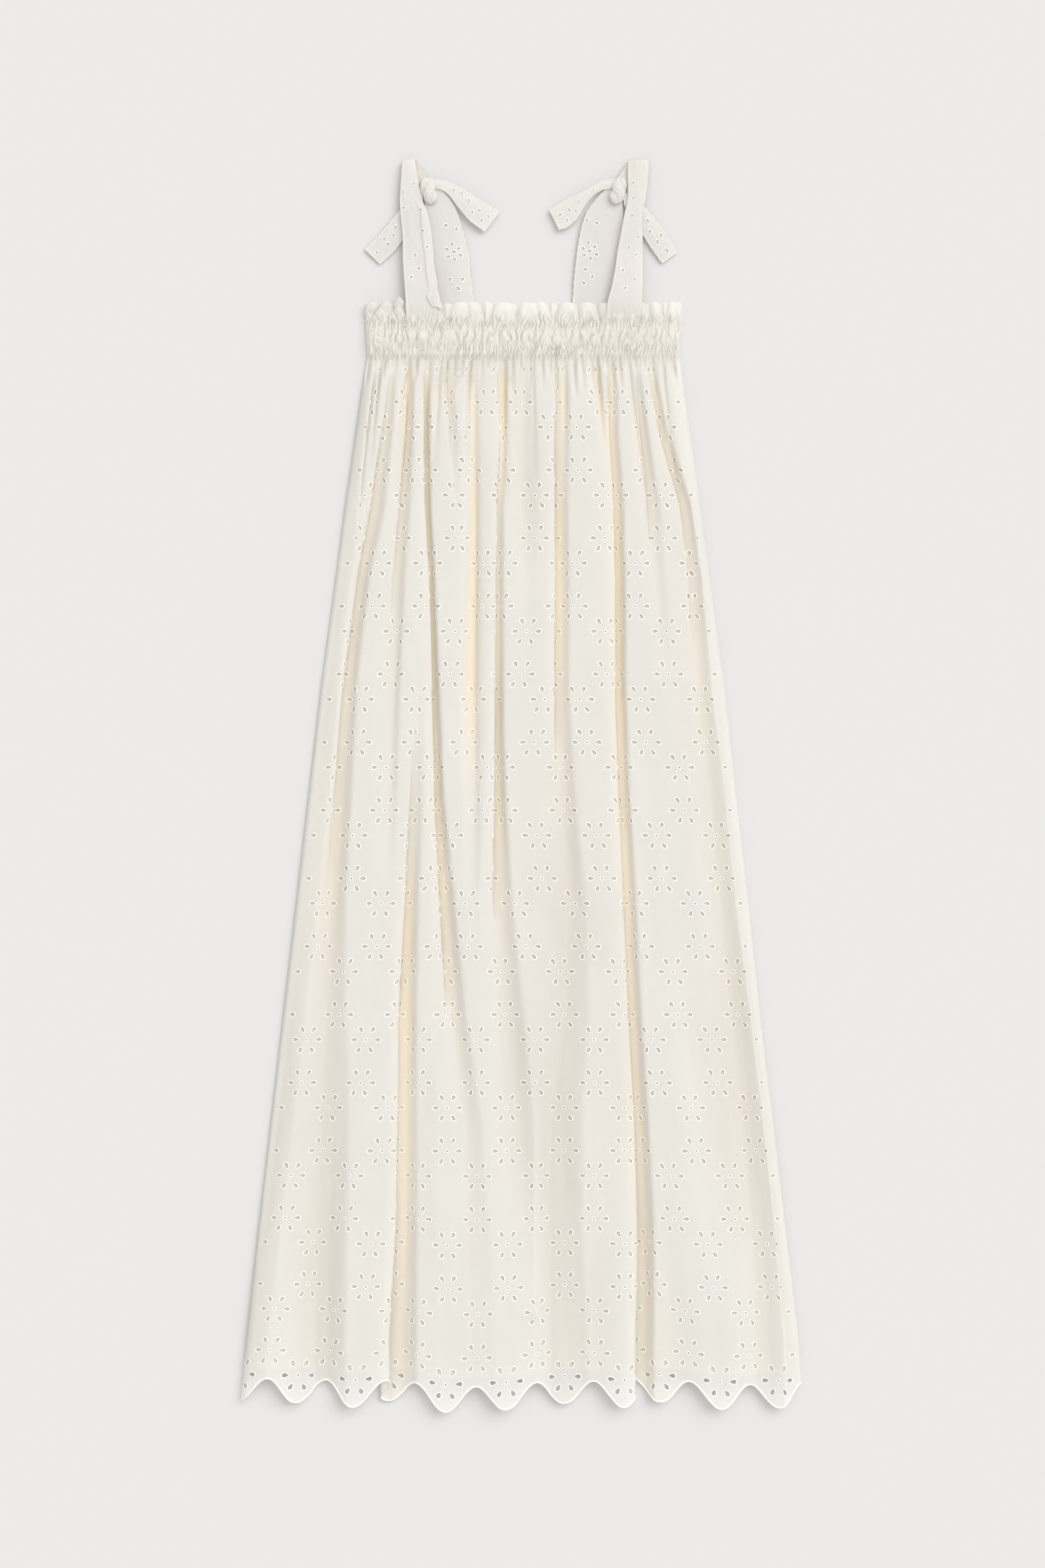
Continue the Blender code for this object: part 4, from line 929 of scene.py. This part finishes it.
class Strip:
    """A strip of cloth between two edge lines, looked up by distance across it and along it."""

    def __init__(self, sections, seed, turned, gathered):
        table = np.array(sections, float)
        steps = np.concatenate([[0], np.cumsum(np.linalg.norm(np.diff(table[:, :3], axis=0), axis=1))])
        self.along = np.linspace(0, steps[-1], int(steps[-1] / 0.8))
        lines = [smooth_line(np.interp(self.along, steps, table[:, k]), 4) for k in range(6)]
        smooth = np.column_stack(lines)
        for k in (0, 3):
            smooth[:, k] -= MIDDLE_X
            smooth[:, k + 1] = MIDDLE_DOWN - smooth[:, k + 1]
        self.left, self.right = smooth[:, :3], smooth[:, 3:]
        self.up = unit(np.cross(self.right - self.left, np.gradient((self.left + self.right) / 2, axis=0)))
        self.sign = 1 if self.up[2, 2] > 0 else -1
        self.up *= self.sign
        self.width = float(np.linalg.norm(self.right - self.left, axis=1)[5:-5].max())
        self.long = float(steps[-1])
        self.turned, self.gathered = turned, gathered
        self.noise = Noise(seed)

    def bow(self, t, along):
        """Height of the cloth over the straight line between its edges."""
        n = self.noise
        bow = (0.7 * np.sin(np.pi * share_of(t)) ** 0.7 + 0.5 * n.at(t * 2.6, along / 21.0)
               + 0.22 * n.at(t * 7.0, along / 8.0))
        if self.turned:
            side, share, start, end = self.turned
            place = t if side > 0 else 1 - t
            edge = 1 - share + 0.05 * n.at(along / 13.0, 0.5)
            inside = share_of((along - start) / 10) * share_of((end - along) / 12)
            bow = bow + 1.3 * inside * share_of((place - edge) / 0.03) * (1.15 - 0.8 * (place - edge))
        if self.gathered:
            fade = share_of(1 - along / self.gathered) ** 0.8
            ribs = np.abs(np.sin(np.pi * (8.5 * t + 0.5 * n.at(t * 5.0, along / 9.0)))) ** 0.7
            bow = bow + 2.2 * fade * (ribs - 0.5)
        return bow

    def at(self, across, along):
        t = across / self.width
        parts = [np.stack([np.interp(along, self.along, line[:, k]) for k in range(3)], -1)
                 for line in (self.left, self.right, self.up)]
        return parts[0] + (parts[1] - parts[0]) * t[:, None] + parts[2] * self.bow(t, along)[:, None]

    def normals(self, across, along):
        side = self.at(across + 0.4, along) - self.at(across - 0.4, along)
        ahead = self.at(across, along + 0.4) - self.at(across, along - 0.4)
        return unit(np.cross(side, ahead) * self.sign)

    def find(self, x, down):
        """The place on the strip that lies at x and down, on its upper part."""
        a, b = np.meshgrid(np.linspace(0.08, 0.92, 60) * self.width, self.along[:int(len(self.along) * 0.93)])
        a, b = a.ravel(), b.ravel()
        spots = self.at(a, b)
        away = np.hypot(spots[:, 0] - (x - MIDDLE_X), spots[:, 1] - (MIDDLE_DOWN - down))
        best = np.argmin(away - 0.02 * spots[:, 2])
        return a[best], b[best]


def oval(centre, turn, grow=0.0):
    angle = np.arange(9) * 2 * np.pi / 9
    u, v = (STRAP_EYELET[0] / 2 + grow) * np.cos(angle), (STRAP_EYELET[1] / 2 + grow) * np.sin(angle)
    c, s = math.cos(turn), math.sin(turn)
    return np.array(centre) + np.stack([u * c - v * s, u * s + v * c], -1)


def make_strip(name, rims, hems):
    """A strip's cloth: an upper ply with its eyelets and a plain lower ply, and its rims and hems."""
    seed, turned, gathered, waves, sections, eyelets = STRIPS[name]
    strip = Strip(sections, seed, turned, gathered)
    wide, long = strip.width, strip.long
    ends = np.linspace(0.6, long - 0.6, int(long / 1.2))
    wave = waves * np.abs(np.sin(np.pi * ends / 7.0)) + 0.3
    crosswise = np.linspace(0.4, wide - 0.4, int(wide / 1.1))
    outline = ([(a, 0.4) for a in crosswise] + [(wide - w, b) for w, b in zip(wave, ends)]
               + [(a, long - 0.4) for a in crosswise[::-1]] + list(zip(wave[::-1], ends[::-1])))
    inner = [(a + 0.25 * (i % 2), b) for i, b in enumerate(np.arange(1.6, long - 1.4, 1.05))
             for a in np.arange(2.0, wide - 1.6, 0.95)]
    makers = []
    for x, down, turn in eyelets:
        maker = lambda grow, c=strip.find(x, down), a=math.radians(turn): oval(c, a, grow)
        if lies_within(maker(0.0), 2, wide - 2, 2, long - 2):
            makers.append(maker)
    places, faces = cloth_sheet(outline, inner, [maker(0.0) for maker in makers], 1.0)
    points = strip.at(places[:, 0], places[:, 1])
    plain, plain_faces = cloth_sheet(outline, inner, [], 1.0)
    under = raised(strip, plain, np.full(len(plain), -STRAP_PLIES))
    # The lower ply gets the soft folds' painted shade, so that it shows darker through the eyelets
    lower_ply_painted_shade = np.zeros((len(points) + len(under), 2))
    lower_ply_painted_shade[len(points):, 1] = 1.0
    faces = np.vstack([faces, plain_faces + len(points)])
    piece = new_piece(name + "_cloth", np.vstack([points, under]), faces, strap_cotton, painted_fold_shade=lower_ply_painted_shade)
    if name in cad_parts:
        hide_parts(name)
    if makers:
        rims.append(rim_mesh(strip, makers, STRAP_RELIEF))
    hem = ((-0.2, -0.35), (-0.35, 0.1), (0.0, 0.3), (0.9, 0.26), (1.6, 0.02))
    heights = [np.full(len(ends), height) for _, height in hem]
    for side in (0, 1):
        lines = [wave + inwards for inwards, _ in hem]
        hems.append(band(strip, [np.stack([wide - a if side else a, ends], -1) for a in lines], heights))


def make_knot(name):
    """A pulled knot: folds of cloth wound slantwise over each other."""
    x, down, half_width, half_length, base, height, lean = KNOTS[name]
    noise = Noise(60 + len(name))
    turn = math.radians(lean)
    way = 1 if lean > 0 else -1
    va, an = np.meshgrid(np.linspace(-1, 1, KNOT_RINGS + 1),
                         np.linspace(0, 2 * np.pi, KNOT_AROUND, endpoint=False), indexing="ij")
    swell = np.maximum(0.0, 1 - 0.97 * np.abs(va) ** 2.6) ** 0.5
    wind = 1.15 * an + way * 2.5 * va + 0.5 * noise.at(an * 0.9, va * 1.5)
    wraps = 0.72 + 0.46 * np.abs(np.sin(wind)) ** 0.55
    creases = 0.045 * np.sin(9 * wind + 2 * noise.at(an * 2.0, va * 3.0))
    wraps += creases + 0.07 * noise.at(an * 1.6 + 5, va * 2.2)
    u = half_width * swell * wraps * np.cos(an)
    z = base + height / 2 + height / 2 * swell * wraps * np.sin(an)
    w = half_length * va * (1 + 0.06 * noise.at(an * 1.3, va * 2 + 9))
    points = np.stack([x - MIDDLE_X + u * math.cos(turn) - w * math.sin(turn),
                       MIDDLE_DOWN - down + u * math.sin(turn) + w * math.cos(turn), z], -1).reshape(-1, 3)
    faces = grid_faces(KNOT_RINGS + 1, KNOT_AROUND, closed=True)
    points = np.vstack([points, points[:KNOT_AROUND].mean(axis=0), points[-KNOT_AROUND:].mean(axis=0)])
    last = KNOT_RINGS * KNOT_AROUND
    for j in range(KNOT_AROUND):
        n = (j + 1) % KNOT_AROUND
        faces += [(n, j, len(points) - 2), (last + j, last + n, len(points) - 1)]
    piece = new_piece(name + "_cloth", points, faces, strap_cotton)
    bm = bmesh.new()
    bm.from_mesh(piece.data)
    bmesh.ops.recalc_face_normals(bm, faces=bm.faces)
    bm.to_mesh(piece.data)
    bm.free()
    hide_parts(name)


def joined(name, parts, material):
    """One piece from several meshes."""
    points, faces, start = [], [], 0
    for part_points, part_faces in parts:
        points.append(part_points)
        faces.append(np.asarray(part_faces) + start)
        start += len(part_points)
    return new_piece(name, np.vstack(points), np.vstack(faces), material)


def make_straps():
    rims, hems = [], []
    for name in STRIPS:
        make_strip(name, rims, hems)
    for name in KNOTS:
        make_knot(name)
    joined("strap_stitching", rims, stitching)
    joined("strap_hems", hems, strap_cotton)


# Floor, light and camera

def make_stage():
    corners = [(x * FLOOR_HALF, y * FLOOR_HALF, -FLOOR_DROP) for x, y in ((-1, -1), (1, -1), (1, 1), (-1, 1))]
    mesh = bpy.data.meshes.new("floor")
    mesh.from_pydata(corners, [], [(0, 1, 2, 3)])
    mesh.materials.append(new_material("paper_floor", {"Roughness": 1.0, "Specular IOR Level": 0.0,
                                                       "Base Color": FLOOR_COLOUR})[0])
    floor = bpy.data.objects.new("floor", mesh)
    bpy.context.scene.collection.objects.link(floor)

    for name, toward, spread, strength, colour in LIGHTS:
        light = bpy.data.lights.new(name, "SUN")
        light.energy = strength
        light.angle = math.radians(spread)
        light.color = colour
        lamp = bpy.data.objects.new(name, light)
        lamp.rotation_euler = (-Vector(toward)).to_track_quat("-Z", "Y").to_euler()
        bpy.context.scene.collection.objects.link(lamp)
    world = bpy.data.worlds.new("studio")
    bpy.context.scene.world = world
    world.use_nodes = True
    background = world.node_tree.nodes["Background"]
    background.inputs["Color"].default_value = WORLD_COLOUR
    background.inputs["Strength"].default_value = WORLD_STRENGTH
    bpy.context.scene.view_settings.view_transform = "Standard"


def make_camera():
    data = bpy.data.cameras.new("camera")
    data.sensor_width = SENSOR
    data.lens = SENSOR * CAMERA_DISTANCE / PHOTO_HEIGHT
    data.clip_end = FARTHEST_SEEN
    camera = bpy.data.objects.new("camera", data)
    camera.location = (CAMERA_X, CAMERA_Y, CAMERA_DISTANCE)
    camera.rotation_euler = (0.0, 0.0, 0.0)
    bpy.context.scene.collection.objects.link(camera)
    bpy.context.scene.camera = camera


make_camera()
make_stage()
make_front(Front())
make_back()
make_straps()
